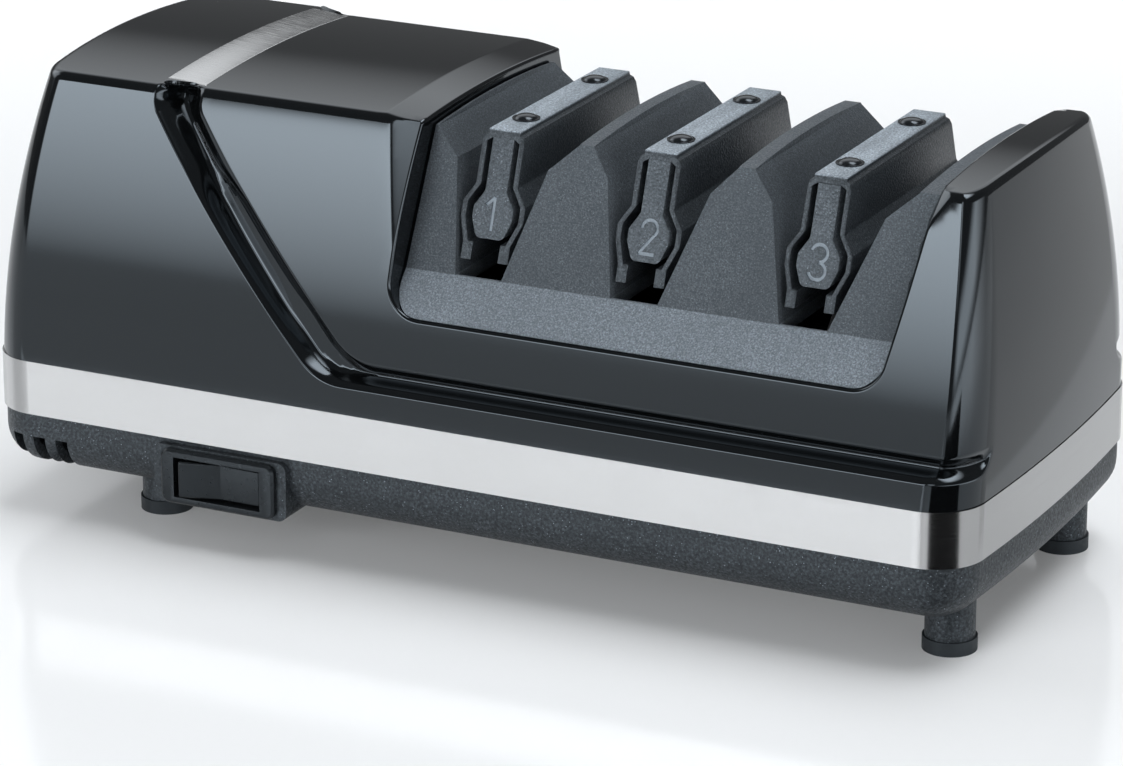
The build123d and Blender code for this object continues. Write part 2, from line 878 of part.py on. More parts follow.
def make_spring_screws(index):
    """The two domed screws of one knife spring."""
    x = stage_x[index]
    dome_radius = (button_radius**2 + button_height**2) / (2 * button_height)
    screws = []
    for y in (-button_offset, button_offset):
        dome = Pos(x, y, strap_top + button_height - dome_radius) * Sphere(dome_radius)
        head = dome & along_z(button_radius, strap_top, strap_top + 2 * button_height, x, y)
        shank = along_z(screw_radius, strap_top - button_shank, strap_top + button_height / 2, x, y)
        screws.append(head + shank)
    return Compound(children=screws)


def stage_plane(index, side):
    """Drawing plane of a disk: X outward from the stage centre, Y out from the shaft."""
    return Plane((stage_x[index], 0, shaft_height), x_dir=(side, 0, 0), z_dir=(0, -side, 0))


def make_disk(index, side):
    """Conical disk that slides on the shaft, with a slot for its drive pin."""
    rim = polishing_rim if index == 2 else disk_rim
    bore = shaft_radius + running_gap
    section = outline(
        [
            (disk_gap_half, disk_pocket_radius),
            (disk_gap_half, disk_radius),
            (disk_gap_half + rim, disk_radius),
            (disk_cone_end, disk_cone_radius),
            (disk_cone_end, disk_hub_radius),
            (disk_hub_end, disk_hub_radius),
            (disk_hub_end, bore),
            (disk_pocket_floor, bore),
            (disk_pocket_floor, disk_pocket_radius),
        ]
    )
    axis = Axis((stage_x[index], 0, shaft_height), (1, 0, 0))
    disk = revolve(stage_plane(index, side) * section, axis)
    inner = stage_x[index] + side * (disk_hub_end - disk_slot_depth)
    outer = stage_x[index] + side * (disk_hub_end + past)
    half = pin_radius + pin_side_gap
    low, high = sorted((inner, outer))
    return disk - block(low, high, -half, half, shaft_height - disk_radius / 2, shaft_height + disk_radius / 2)


def make_disk_spring(index):
    """Compression spring that pushes a pair of disks apart."""
    span = 2 * (disk_pocket_floor - coil_spring_wire - fit_gap)
    path = Helix(span / coil_spring_turns, span, coil_spring_radius)
    coil = sweep(Plane(path @ 0, z_dir=path % 0) * Circle(coil_spring_wire), path=path)
    return Plane((stage_x[index] - span / 2, 0, shaft_height), z_dir=(1, 0, 0)) * coil


def pin_positions():
    """Where the cross pins sit on the shaft."""
    return [x + side * pin_place for x in stage_x for side in (-1, 1)]


def make_drive_pins():
    """Cross pins that turn the disks."""
    half = pin_half
    return Compound(
        children=[
            along_z(pin_radius, shaft_height - half, shaft_height + half, x, 0) for x in pin_positions()
        ]
    )


def make_shaft():
    """One shaft from the fan to the end bearing."""
    shaft = along_x(shaft_radius, shaft_left, shaft_right)
    for x in pin_positions():
        shaft = shaft - along_z(pin_radius + touch, shaft_height - pin_half, shaft_height + pin_half, x, 0)
    return shaft


# ---- motor ----
def make_stack():
    """Laminated core of the motor."""
    stack = block(stack_left, stack_right, -stack_half_width, stack_half_width, stack_bottom, stack_top)
    stack = stack - along_x(rotor_radius + air_gap, stack_left - past, stack_right + past)
    stack = stack - block(stack_left - past, stack_right + past, -window_half, window_half, window_bottom, window_top)
    for y in (-bracket_screw_offset, bracket_screw_offset):
        stack = stack - along_x(bracket_screw_radius + fit_gap, stack_left - past, stack_right + past, y)
    return stack


def around_bar(grow, half):
    """A block round the core's top bar, grown all round."""
    return block(
        stack_left - grow, stack_right + grow, -half, half, window_top - grow, stack_top + grow
    )


def make_bobbin():
    """Sleeve with two flanges that the coil is wound on."""
    half = window_half - coil_end_gap
    outer = fit_gap + bobbin_wall + coil_build
    sleeve = around_bar(fit_gap + bobbin_wall, half)
    flanges = around_bar(outer, half) - around_bar(outer + past, half - bobbin_flange)
    return sleeve + flanges - around_bar(fit_gap, half + past)


def make_coil():
    """Copper winding."""
    half = window_half - coil_end_gap - bobbin_flange
    return around_bar(fit_gap + bobbin_wall + coil_build - fit_gap, half) - around_bar(
        fit_gap + bobbin_wall, half + past
    )


def make_rotor():
    """Rotor core on the shaft."""
    return along_x(rotor_radius, stack_left, stack_right) - along_x(
        shaft_radius + touch, stack_left - past, stack_right + past
    )


def make_end_rings():
    """Cast rings on both faces of the rotor."""
    rings = []
    for start in (stack_left - end_ring_length, stack_right):
        ring = along_x(rotor_radius - air_gap, start, start + end_ring_length)
        rings.append(ring - along_x(end_ring_inner, start - past, start + end_ring_length + past))
    return Compound(children=rings)


def bracket_span(side):
    """Inner and outer X of a motor bracket's plate."""
    face = stack_left if side < 0 else stack_right
    return face + side * bracket_offset, face + side * (bracket_offset + bracket_thickness)


def boss_span(side):
    """Where a bracket's bearing boss begins and ends."""
    inner, outer = bracket_span(side)
    middle = (inner + outer) / 2
    return middle - bearing_length / 2, middle + bearing_length / 2


def make_bracket(side):
    """Motor bracket: plate, two legs on the core and the bearing boss."""
    inner, outer = bracket_span(side)
    face = stack_left if side < 0 else stack_right
    low, high = sorted((inner, outer))
    leg_low, leg_high = sorted((face, inner))
    half = stack_half_width - touch
    bracket = block(
        low, high, -half, half, shaft_height - bracket_half_height, shaft_height + bracket_half_height
    )
    boss_low, boss_high = boss_span(side)
    bracket = bracket + along_x(bearing_boss_radius, boss_low, boss_high)
    for y in (-bracket_screw_offset, bracket_screw_offset):
        bracket = bracket + along_x(bracket_leg_radius, leg_low, leg_high, y)
        bracket = bracket - along_x(bracket_screw_radius + fit_gap, leg_low - bracket_offset, leg_high + bracket_offset, y)
    return bracket - along_x(bearing_radius + touch, boss_low - past, boss_high + past)


def make_bush(x0, x1):
    """Sintered bush that the shaft runs in."""
    return along_x(bearing_radius, x0, x1) - along_x(shaft_radius + running_gap, x0 - past, x1 + past)


def make_motor_screws():
    """Two long screws through brackets and core, with their nuts."""
    start = bracket_span(-1)[1]
    end = bracket_span(1)[1]
    screws = []
    for y in (-bracket_screw_offset, bracket_screw_offset):
        head = along_x(bracket_screw_head, start - bracket_screw_head_height, start, y)
        nut = Plane((end, y, shaft_height), z_dir=(1, 0, 0)) * extrude(
            RegularPolygon(bracket_screw_head, 6), bracket_nut_height
        )
        screws.append(head + along_x(bracket_screw_radius, start, end + bracket_nut_height, y) + nut)
    return Compound(children=screws)


def make_fan():
    """Cooling fan on the end of the shaft."""
    fan = along_x(fan_hub_radius, fan_left, fan_left + fan_width)
    reach = fan_radius + past
    blade = Box(fan_width, fan_blade_thickness, reach)
    blade = Pos(0, 0, reach / 2) * Rot(0, 0, fan_twist) * blade
    blades = Part()
    for i in range(fan_blades):
        blades = blades + Rot(i * 360 / fan_blades, 0, 0) * blade
    envelope = along_x(fan_radius, fan_left, fan_left + fan_width)
    blades = (Pos(fan_left + fan_width / 2, 0, shaft_height) * blades) & envelope
    return fan + blades - along_x(shaft_radius + touch, fan_left - past, fan_left + fan_width + past)


def make_retaining_rings():
    """Clips on the shaft, one beside each motor bush."""
    left = boss_span(-1)[0] - seat_gap - ring_thickness
    right = boss_span(1)[1] + seat_gap
    rings = []
    for start in (left, right):
        ring = along_x(ring_radius, start, start + ring_thickness)
        rings.append(ring - along_x(shaft_radius + touch, start - past, start + ring_thickness + past))
    return Compound(children=rings)


def make_pedestal():
    """Bracket that carries the far end of the shaft."""
    right = pedestal_left + pedestal_thickness
    plate = block(
        pedestal_left, right, -pedestal_half_width, pedestal_half_width, base_inside, pedestal_top
    )
    foot = block(
        pedestal_left,
        pedestal_left + pedestal_foot,
        -pedestal_half_width,
        pedestal_half_width,
        base_inside,
        base_inside + pedestal_thickness,
    )
    boss = along_x(bearing_boss_radius, pedestal_left, pedestal_left + pedestal_boss_length)
    body = plate + foot + boss
    for y in (-pedestal_screw_y, pedestal_screw_y):
        body = body - along_z(pedestal_screw_radius + fit_gap, base_bottom, shaft_height, pedestal_screw_x, y)
    return body - along_x(bearing_radius + touch, pedestal_left - past, right + pedestal_boss_length)


def make_pedestal_screws():
    """Screws of the end bearing bracket."""
    seat = base_inside + pedestal_thickness
    screws = []
    for y in (-pedestal_screw_y, pedestal_screw_y):
        head = along_z(pedestal_screw_head, seat, seat + screw_head_height, pedestal_screw_x, y)
        shank = along_z(pedestal_screw_radius, base_bottom + pedestal_screw_tip, seat, pedestal_screw_x, y)
        screws.append(head + shank)
    return Compound(children=screws)


# ---- switch and cord inlet ----
def make_switch_housing():
    """Body and bezel of the rocker switch."""
    bezel = front_prism(
        Pos(switch_x, switch_z) * RectangleRounded(2 * bezel_half, 2 * bezel_half_height, bezel_round),
        -boss_face - bezel_thickness,
        -boss_face,
    )
    bezel = chamfer(bezel.faces().sort_by(Axis.Y)[0].edges(), bezel_chamfer)
    body = block(
        switch_x - switch_body_half,
        switch_x + switch_body_half,
        -boss_face,
        switch_rear,
        switch_z - switch_body_half_height,
        switch_z + switch_body_half_height,
    )
    half = rocker_half + rocker_swing_gap
    half_height = rocker_half_height + rocker_gap
    mouth = block(
        switch_x - half,
        switch_x + half,
        -depth,
        rocker_pivot_y + rocker_root + rocker_root_gap,
        switch_z - half_height,
        switch_z + half_height,
    )
    return bezel + body - mouth - rocker_axle(rocker_pin_radius + touch, past)


def rocker_axle(radius, extra):
    """The rocker's upright pivot."""
    half = switch_body_half_height - touch + extra
    return along_z(radius, switch_z - half, switch_z + half, switch_x, rocker_pivot_y)


def make_rocker():
    """Rocker, drawn level and then turned to its rest with the left end out."""
    back = rocker_root / 2
    face = outline(
        [
            (-rocker_half, -rocker_end_face),
            (0, -rocker_face),
            (rocker_half, -rocker_end_face),
            (rocker_half, -back),
            (rocker_half / 2, rocker_root),
            (-rocker_half / 2, rocker_root),
            (-rocker_half, -back),
        ]
    )
    body = extrude(face, rocker_half_height, both=True)
    body = fillet(body.faces().sort_by(Axis.Y)[:2].edges().filter_by(Axis.X, reverse=True), rocker_gap)
    body = body - Cylinder(rocker_pin_radius + running_gap, 3 * rocker_half_height)
    return Pos(switch_x, rocker_pivot_y, switch_z) * Rot(0, 0, rocker_tilt) * body


def make_terminals():
    """Three blades at the back of the switch."""
    blades = []
    for offset in (-terminal_pitch, 0, terminal_pitch):
        x = switch_x + offset
        blades.append(
            block(
                x - terminal_width / 2,
                x + terminal_width / 2,
                switch_rear,
                switch_rear + terminal_length,
                switch_z - terminal_height / 2,
                switch_z + terminal_height / 2,
            )
        )
    return Compound(children=blades)


def make_grommet():
    """Rubber bush in the rear wall that the mains cord passes through."""
    flange = along_y(grommet_flange_radius, boss_face, boss_face + grommet_flange, cord_x, cord_z)
    neck = along_y(grommet_neck_radius, cord_boss_inner - grommet_inner_flange, boss_face, cord_x, cord_z)
    inner = along_y(grommet_inner_radius, cord_boss_inner - grommet_inner_flange, cord_boss_inner, cord_x, cord_z)
    return flange + neck + inner - along_y(cord_bore_radius, 0, depth, cord_x, cord_z)


def pieces():
    """Every piece by name, with the call that makes it."""
    made = {
        "cover": make_cover,
        "roof_strip": make_strip,
        "trim_band": make_trim_band,
        "base_shell": make_base,
        "base_screws": make_base_screws,
        "cleanout_cover": make_cleanout_cover,
        "filings_magnet": make_magnet,
        "guide_insert": make_insert,
        "drive_shaft": make_shaft,
        "drive_pins": make_drive_pins,
        "stator_core": make_stack,
        "coil_bobbin": make_bobbin,
        "stator_coil": make_coil,
        "rotor_core": make_rotor,
        "rotor_end_rings": make_end_rings,
        "cooling_fan": make_fan,
        "retaining_rings": make_retaining_rings,
        "motor_bracket_left": lambda: make_bracket(-1),
        "motor_bracket_right": lambda: make_bracket(1),
        "motor_bush_left": lambda: make_bush(*boss_span(-1)),
        "motor_bush_right": lambda: make_bush(*boss_span(1)),
        "motor_screws": make_motor_screws,
        "end_bearing_bracket": make_pedestal,
        "end_bush": lambda: make_bush(pedestal_left, pedestal_left + pedestal_boss_length),
        "end_bracket_screws": make_pedestal_screws,
        "switch_housing": make_switch_housing,
        "switch_rocker": make_rocker,
        "rocker_pin": lambda: rocker_axle(rocker_pin_radius, 0),
        "switch_terminals": make_terminals,
        "cord_grommet": make_grommet,
    }
    for corner, (x, y) in foot_places().items():
        made[f"foot_{corner}"] = lambda x=x, y=y: make_foot_cap(x, y)
    for i in range(len(stage_x)):
        stage = i + 1
        made[f"stage_post_{stage}"] = lambda i=i: make_post(i)
        made[f"knife_spring_{stage}"] = lambda i=i: make_knife_spring(i)
        made[f"spring_screws_{stage}"] = lambda i=i: make_spring_screws(i)
        made[f"disk_spring_{stage}"] = lambda i=i: make_disk_spring(i)
        kind = "polishing_disk" if i == 2 else "sharpening_disk"
        made[f"{kind}_{stage}_left"] = lambda i=i: make_disk(i, -1)
        made[f"{kind}_{stage}_right"] = lambda i=i: make_disk(i, 1)
    return made


def build():
    """Writes one STEP file for each piece."""
    os.makedirs("parts", exist_ok=True)
    for name, make in pieces().items():
        piece = make()
        export_step(piece, f"parts/{name}.step")
        print(name, len(piece.solids()), round(piece.volume))


if __name__ == "__main__":
    build()
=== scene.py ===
import math
from itertools import product

import bmesh
import bpy
import numpy as np
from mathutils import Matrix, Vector
from mathutils.geometry import delaunay_2d_cdt


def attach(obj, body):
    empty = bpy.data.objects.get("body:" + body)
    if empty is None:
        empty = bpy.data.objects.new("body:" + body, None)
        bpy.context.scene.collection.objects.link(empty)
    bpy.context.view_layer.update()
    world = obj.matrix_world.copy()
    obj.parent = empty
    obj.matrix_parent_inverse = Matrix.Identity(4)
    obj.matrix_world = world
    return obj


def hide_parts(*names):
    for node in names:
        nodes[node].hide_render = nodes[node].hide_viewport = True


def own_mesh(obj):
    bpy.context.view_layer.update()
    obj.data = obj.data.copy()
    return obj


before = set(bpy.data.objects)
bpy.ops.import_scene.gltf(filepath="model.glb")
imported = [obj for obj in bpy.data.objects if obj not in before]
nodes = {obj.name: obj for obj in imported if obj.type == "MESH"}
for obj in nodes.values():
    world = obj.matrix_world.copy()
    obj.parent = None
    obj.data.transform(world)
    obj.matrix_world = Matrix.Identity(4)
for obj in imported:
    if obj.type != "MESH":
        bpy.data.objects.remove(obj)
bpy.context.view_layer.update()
print("frame loaded:", len(nodes), "nodes")

stageMiddles = (1.1, 39.6, 80.3)  # the three stages along the length, in millimetres


# a socket with arithmetic, so that shader maths reads as plain expressions
class Wire:
    def __init__(self, paint, socket):
        self.paint = paint
        self.socket = socket

    def __add__(self, other):
        return self.paint.maths("ADD", self, other)

    def __sub__(self, other):
        return self.paint.maths("SUBTRACT", self, other)

    def __rsub__(self, other):
        return self.paint.maths("SUBTRACT", other, self)

    def __mul__(self, other):
        return self.paint.maths("MULTIPLY", self, other)

    def __pow__(self, other):
        return self.paint.maths("POWER", self, other)

    __radd__ = __add__
    __rmul__ = __mul__


# a material or a world that adds its own nodes
class Paint:
    def __init__(self, name, owners=bpy.data.materials, place="Object"):
        self.owner = owners.new(name)
        self.owner.use_nodes = True
        self.tree = self.owner.node_tree
        self.tree.nodes.clear()
        self.place = self.node("ShaderNodeTexCoord", out=place)

    def node(self, kind, settings=(), inputs=(), out=0):
        made = self.tree.nodes.new(kind)
        for key, value in dict(settings).items():
            if key == "stops":
                self.setStops(made.color_ramp, value)
            else:
                setattr(made, key, value)
        for key, value in dict(inputs).items():
            if isinstance(value, Wire):
                self.tree.links.new(value.socket, made.inputs[key])
            else:
                made.inputs[key].default_value = value
        return Wire(self, made.outputs[out])

    def setStops(self, ramp, stops):
        while len(ramp.elements) < len(stops):
            ramp.elements.new(1)
        for element, (spot, shade) in zip(ramp.elements, stops):
            element.position = spot
            element.color = (shade, shade, shade, 1)

    def maths(self, operation, first, second):
        return self.node("ShaderNodeMath", {"operation": operation}, {0: first, 1: second})

    def stretched(self, scale):
        return self.node("ShaderNodeMapping", {}, {"Vector": self.place, "Scale": scale})

    def noise(self, scale, detail=3, place=None, rough=0.5):
        return self.node("ShaderNodeTexNoise", {}, {
            "Vector": place or self.place, "Scale": scale, "Detail": detail, "Roughness": rough})

    def cells(self, scale):
        inputs = {"Vector": self.place, "Scale": scale}
        return self.node("ShaderNodeTexVoronoi", {"feature": "F1"}, inputs, "Distance")

    def ramp(self, value, stops):
        return self.node("ShaderNodeValToRGB", {"stops": stops}, {"Fac": value}, "Color")

    def axes(self, letters="XYZ"):
        return [self.node("ShaderNodeSeparateXYZ", {}, {0: self.place}, letter) for letter in letters]

    def spread(self, value, low, high, start=0.0, end=1.0):
        return self.node("ShaderNodeMapRange", {"clamp": True}, {
            "Value": value, "From Min": start, "From Max": end, "To Min": low, "To Max": high})

    def blend(self, share, first, second):
        return self.node("ShaderNodeMix", {"data_type": "RGBA"}, {0: share, 6: first, 7: second}, 2)

    def bump(self, height, strength, depth, under=None):
        inputs = {"Height": height, "Strength": strength, "Distance": depth}
        if under:
            inputs["Normal"] = under
        return self.node("ShaderNodeBump", {}, inputs)

    def ending(self, kind, shader):
        output = self.tree.nodes.new(kind)
        self.tree.links.new(shader.socket, output.inputs["Surface"])
        return self.owner

    def finish(self, **inputs):
        names = {key.replace("_", " "): value for key, value in inputs.items()}
        return self.ending("ShaderNodeOutputMaterial", self.node("ShaderNodeBsdfPrincipled", {}, names))


def grey(level, tint=(1.0, 1.0, 1.0)):
    return (level * tint[0], level * tint[1], level * tint[2], 1)


# tints of the black mouldings and of their sheen
coolTint = (0.88, 1.0, 1.12)
sheenTint = (0.80, 0.91, 1.0, 1)
noiseBand = (0.3, 0.7)  # where most of a noise's values lie

glossForm = {
    "low": 0.002, "high": 0.003, "rough": (0.07, 0.10), "ior": 1.56,
    "dustScale": 900, "dustSize": 0.035, "dustRough": 0.05,
    "peelScale": 420, "peelDepth": 0.0000012, "peelStrength": 0.2,
}


def glossBlack(form):
    # polished black with a faint orange peel and specks of dust
    paint = Paint("glossBlack")
    drift = paint.noise(9, detail=2)
    peel = paint.noise(form["peelScale"], detail=2)
    dust = paint.ramp(paint.cells(form["dustScale"]), [(0.0, 1.0), (form["dustSize"], 0.0)])
    return paint.finish(
        Base_Color=paint.blend(drift, grey(form["low"], coolTint), grey(form["high"], coolTint)),
        Roughness=paint.spread(drift, *form["rough"]) + dust * form["dustRough"],
        Normal=paint.bump(peel, form["peelStrength"], form["peelDepth"]),
        IOR=form["ior"], Specular_Tint=sheenTint,
    )


plasticForm = {"mottle": 55, "mottleBand": (0.35, 0.65), "grainRough": 0.6, "drift": 0.08, "strength": 0.6}


def plastic(name, low, high, rough, grainScale, grainDepth, tint=coolTint, ior=1.5):
    # smooth moulded plastic with a faint grain
    form, drift = plasticForm, plasticForm["drift"]
    paint = Paint(name)
    mottle = paint.spread(paint.noise(form["mottle"], detail=4), 0, 1, *form["mottleBand"])
    grain = paint.noise(grainScale, detail=3, rough=form["grainRough"])
    return paint.finish(
        Base_Color=paint.blend(mottle, grey(low, tint), grey(high, tint)),
        Roughness=paint.spread(grain, rough - drift, rough + drift, *noiseBand),
        Normal=paint.bump(grain, form["strength"], grainDepth),
        IOR=ior, Specular_Tint=sheenTint,
    )


# what the textured mouldings share
pebbleForm = {
    "mottle": 70, "mottleRange": (0.78, 1.22), "grainRough": 0.7, "grainBand": (0.36, 0.66),
    "pebbleShade": (1, 0.35), "pebbleBand": (0.15, 0.7), "paintedLightShare": (0.6, 0.22), "drift": 0.08,
    "glintSize": (0.09, 0.2), "patchShare": 0.4, "patchBand": (0.5, 0.62),
    "grainStrength": 0.5, "pebbleStrength": 0.6,
}


def pebbled(name, own):
    # textured plastic: a leathery grain of pebbles whose tops are lighter, with a few glints, and where asked
    # a painted highlight above or below a height
    form = {**pebbleForm, **own}
    paint = Paint(name)
    x, y, z = paint.axes()
    mottle = paint.spread(paint.noise(form["mottle"], detail=4), *form["mottleRange"], *noiseBand)
    pebbles = paint.cells(form["pebbles"])
    grain = paint.noise(form["grain"], detail=2, rough=form["grainRough"])
    tops = paint.spread(grain, 0, 1, *form["grainBand"])
    tops = tops * paint.spread(pebbles, *form["pebbleShade"], *form["pebbleBand"])
    shade = tops * mottle
    colour = paint.blend(shade, grey(form["low"], coolTint), grey(form["high"], coolTint))
    # painted highlight: faces past a height are blended lighter, standing in for the light that falls on an
    # upward-facing ledge or top
    if "paintedLight" in form:
        start, end, high = form["paintedLight"]
        share, least = form["paintedLightShare"]
        paintedLightShare = (shade * share + least) * paint.spread(z, 0, 1, start, end)
        colour = paint.blend(paintedLightShare, colour, grey(high, coolTint))
    full, gone = form["glintSize"]
    sparks = paint.ramp(paint.cells(form["glintScale"]), [(full, 1.0), (gone, 0.0)])
    patches = paint.noise(form["glintScale"] * form["patchShare"], detail=1)
    glints = sparks * paint.spread(patches, 0, 1, *form["patchBand"])
    colour = paint.blend(glints * form["glintShare"], colour, grey(form["glint"], coolTint))
    if "figure" in form:
        mask = figureMask(paint, x, y, z, form["figure"])
        colour = paint.blend(mask, colour, grey(form["figure"]["shade"], coolTint))
    rough, drift = form["rough"], form["drift"]
    return paint.finish(
        Base_Color=colour,
        Roughness=paint.spread(grain, rough + drift, rough - drift, *noiseBand),
        Normal=paint.bump(grain, form["grainStrength"], form["depth"],
                          paint.bump(pebbles, form["pebbleStrength"], form["depth"])),
        IOR=1.5, Specular_Tint=sheenTint,
    )


# the sunk figures, in metres: they lie just behind the leaning fronts of the posts
figures = {
    "lean": 0.36, "reach": 0.06486, "front": (0.00012, 0.0002), "back": (0.0007, 0.0008),
    "low": 0.0800, "high": 0.0882, "half": 0.0026, "blur": 0.0001,
    "middles": [x / 1000 for x in stageMiddles], "shade": 0.34,
}


def figureMask(paint, x, y, z, form):
    # 1 on the floors of the figures
    behind = y + (z * -form["lean"] + form["reach"])
    mask = paint.spread(behind, 0, 1, *form["front"]) * paint.spread(behind, 1, 0, *form["back"])
    mask = mask * paint.spread(z, 0, 1, form["low"], form["low"] + form["blur"])
    mask = mask * paint.spread(z, 1, 0, form["high"], form["high"] + form["blur"])
    near = 0
    for middle in form["middles"]:
        off = paint.maths("ABSOLUTE", x - middle, 0)
        near = paint.spread(off, 1, 0, form["half"], form["half"] + form["blur"]) + near
    return mask * near


metalForm = {
    "streaks": 6, "clouds": 40, "drift": (-0.06, 0.08), "cloudDrift": (-0.02, 0.03), "strength": 0.35,
    "spotBand": (0.45, 0.75), "spotShade": 0.4,
}


def metal(name, low, high, rough, scale=(300, 12, 300), tint=(1, 1, 1), depth=0.00002, spots=0.0):
    # bare metal with streaks, and dull spots where it is cast or sintered
    form = metalForm
    paint = Paint(name)
    streaks = paint.noise(form["streaks"], detail=4, place=paint.stretched(scale))
    clouds = paint.noise(form["clouds"], detail=3)
    shade = paint.spread(streaks, 0, 1, *noiseBand)
    colour = paint.blend(shade, grey(low, tint), grey(high, tint))
    if spots:
        dull = paint.spread(clouds, 0, spots, *form["spotBand"])
        colour = paint.blend(dull, colour, grey(low * form["spotShade"], tint))
    smoother, rougher = (rough + drift for drift in form["drift"])
    streaked = paint.spread(streaks, smoother, rougher, *noiseBand)
    return paint.finish(
        Base_Color=colour,
        Metallic=1.0,
        Roughness=streaked + paint.spread(clouds, *form["cloudDrift"]),
        Normal=paint.bump(streaks, form["strength"], depth),
    )


finishes = {
    "gloss_black": glossBlack(glossForm),
    "silver_inlay": metal("satinSilver", 0.49, 0.53, 0.22, (40, 400, 40), depth=0.000004),
    "bright_band": metal("brushedBand", 0.395, 0.415, 0.17, (10, 10, 900), depth=0.000002),
    "speckled_base": pebbled("speckledBase", {
        "pebbles": 1300, "grain": 1500, "low": 0.008, "high": 0.075, "rough": 0.50, "depth": 0.0001,
        "glintScale": 1250, "glintShare": 0.9, "glint": 0.34}),
    "screw_steel": metal("zincSteel", 0.50, 0.62, 0.30, (80, 80, 80)),
    "magnet_grey": metal("ferriteGrey", 0.10, 0.14, 0.50, (60, 60, 60)),
    # the tray's sloping ledge, below its ribs, gets a painted highlight of the light from above
    "insert_black": pebbled("insertBlack", {
        "pebbles": 2100, "grain": 2600, "low": 0.050, "high": 0.150, "rough": 0.50, "depth": 0.00012,
        "glintScale": 1900, "glintShare": 0.6, "glint": 0.40, "paintedLight": (0.0707, 0.0705, 0.36)}),
    "post_black": pebbled("postBlack", {
        "pebbles": 1700, "grain": 2300, "low": 0.045, "high": 0.170, "rough": 0.42, "depth": 0.00016,
        "glintScale": 1500, "glintShare": 0.8, "glint": 0.50, "figure": figures}),
    # the flat tops of the springs' straps get a painted highlight of the light from above
    "spring_black": pebbled("springBlack", {
        "pebbles": 1900, "grain": 2400, "low": 0.016, "high": 0.085, "rough": 0.38, "depth": 0.00012,
        "glintScale": 1700, "glintShare": 0.6, "glint": 0.35, "paintedLight": (0.1016, 0.1019, 0.78)}),
    "button_black": plastic("buttonBlack", 0.006, 0.009, 0.16, 600, 0.00002),
    "shaft_steel": metal("groundSteel", 0.55, 0.66, 0.22, (900, 20, 20)),
    "core_steel": metal("laminatedSteel", 0.22, 0.40, 0.42, (1800, 4, 4)),
    "bobbin_nylon": plastic("bobbinNylon", 0.55, 0.62, 0.45, 300, 0.00003, tint=(1, 0.98, 0.92)),
    "copper_winding": metal("copperWire", 0.70, 0.92, 0.28, (1500, 30, 30), (0.95, 0.52, 0.32)),
    "cast_aluminium": metal("castAluminium", 0.50, 0.62, 0.42, (70, 70, 70), depth=0.0001, spots=0.3),
    "fan_nylon": plastic("fanNylon", 0.60, 0.68, 0.42, 260, 0.00003, tint=(1, 1, 0.97)),
    "sintered_bronze": metal("sinteredBronze", 0.40, 0.62, 0.40, (200, 200, 200), (1.0, 0.72, 0.42),
                             spots=0.4),
    "switch_black": plastic("switchBlack", 0.007, 0.011, 0.32, 900, 0.00005, ior=1.42),
    "rocker_black": plastic("rockerBlack", 0.004, 0.006, 0.22, 700, 0.00003, ior=1.38),
    "tinned_brass": metal("tinnedBrass", 0.60, 0.72, 0.26, (60, 300, 60), (1, 0.97, 0.9)),
    "soft_rubber": plastic("softRubber", 0.018, 0.024, 0.60, 500, 0.00006),
    "foot_rubber": plastic("footRubber", 0.016, 0.022, 0.58, 600, 0.00006),
    "abrasive_steel": metal("abrasiveSteel", 0.30, 0.55, 0.40, (1100, 1100, 1100), depth=0.0001),
    "polishing_resin": metal("polishingDisk", 0.42, 0.60, 0.34, (900, 900, 900), depth=0.00005),
}
print("finishes made:", len(finishes))

for piece in nodes.values():
    for slot in piece.material_slots:
        slot.material = finishes[slot.material.name]


# The cover is one shell. It is laid out flat as wall, roof and opening, meshed there, and bent into place.
# Sizes are in millimetres; halves, leans and corners are given at the three levels.
shell = {
    "levels": (37.9, 72.0, 109.0), "leftLeans": (0.0, 3.0, 10.6), "rightLeans": (0.0, 1.0, 6.2),
    "bow": 2.46, "roofRadius": 370.0, "bend": 1.75, "bendSpan": 3.0, "wallTop": 103.0,
    "ownSpan": 96.0, "frontSpan": 113.0, "cornerSpan": 130.0, "endSpan": 171.0,
    "wall": 1.0, "lip": 0.9, "edgeGuess": 2.0, "edgeTries": 5,
    "slopeStart": -25.1, "slope": 0.133, "slopeReach": 30.0, "slopeEnd": 40.0,
    "facetSoft": 0.3, "facetReach": 3.0,
}
# the flat faces that cut the corners beside the opening: a point on top, one low down and one beside
facets = (
    {"corners": ((-25.1, -36.0, 106.2), (-18.8, -46.5, 73.0), (-15.6, -33.0, 106.2)),
     "span": (-30, -13), "above": 66, "bulge": 0.65, "from": 73.0, "start": -20.0, "step": 1.5},
    {"corners": ((111.2, -34.4, 106.0), (106.0, -30.0, 106.2), (104.6, -38.2, 96.0)),
     "span": (101, 114), "above": 90, "bulge": 0.0, "from": 96.0, "start": 102.0, "step": 0.7},
)
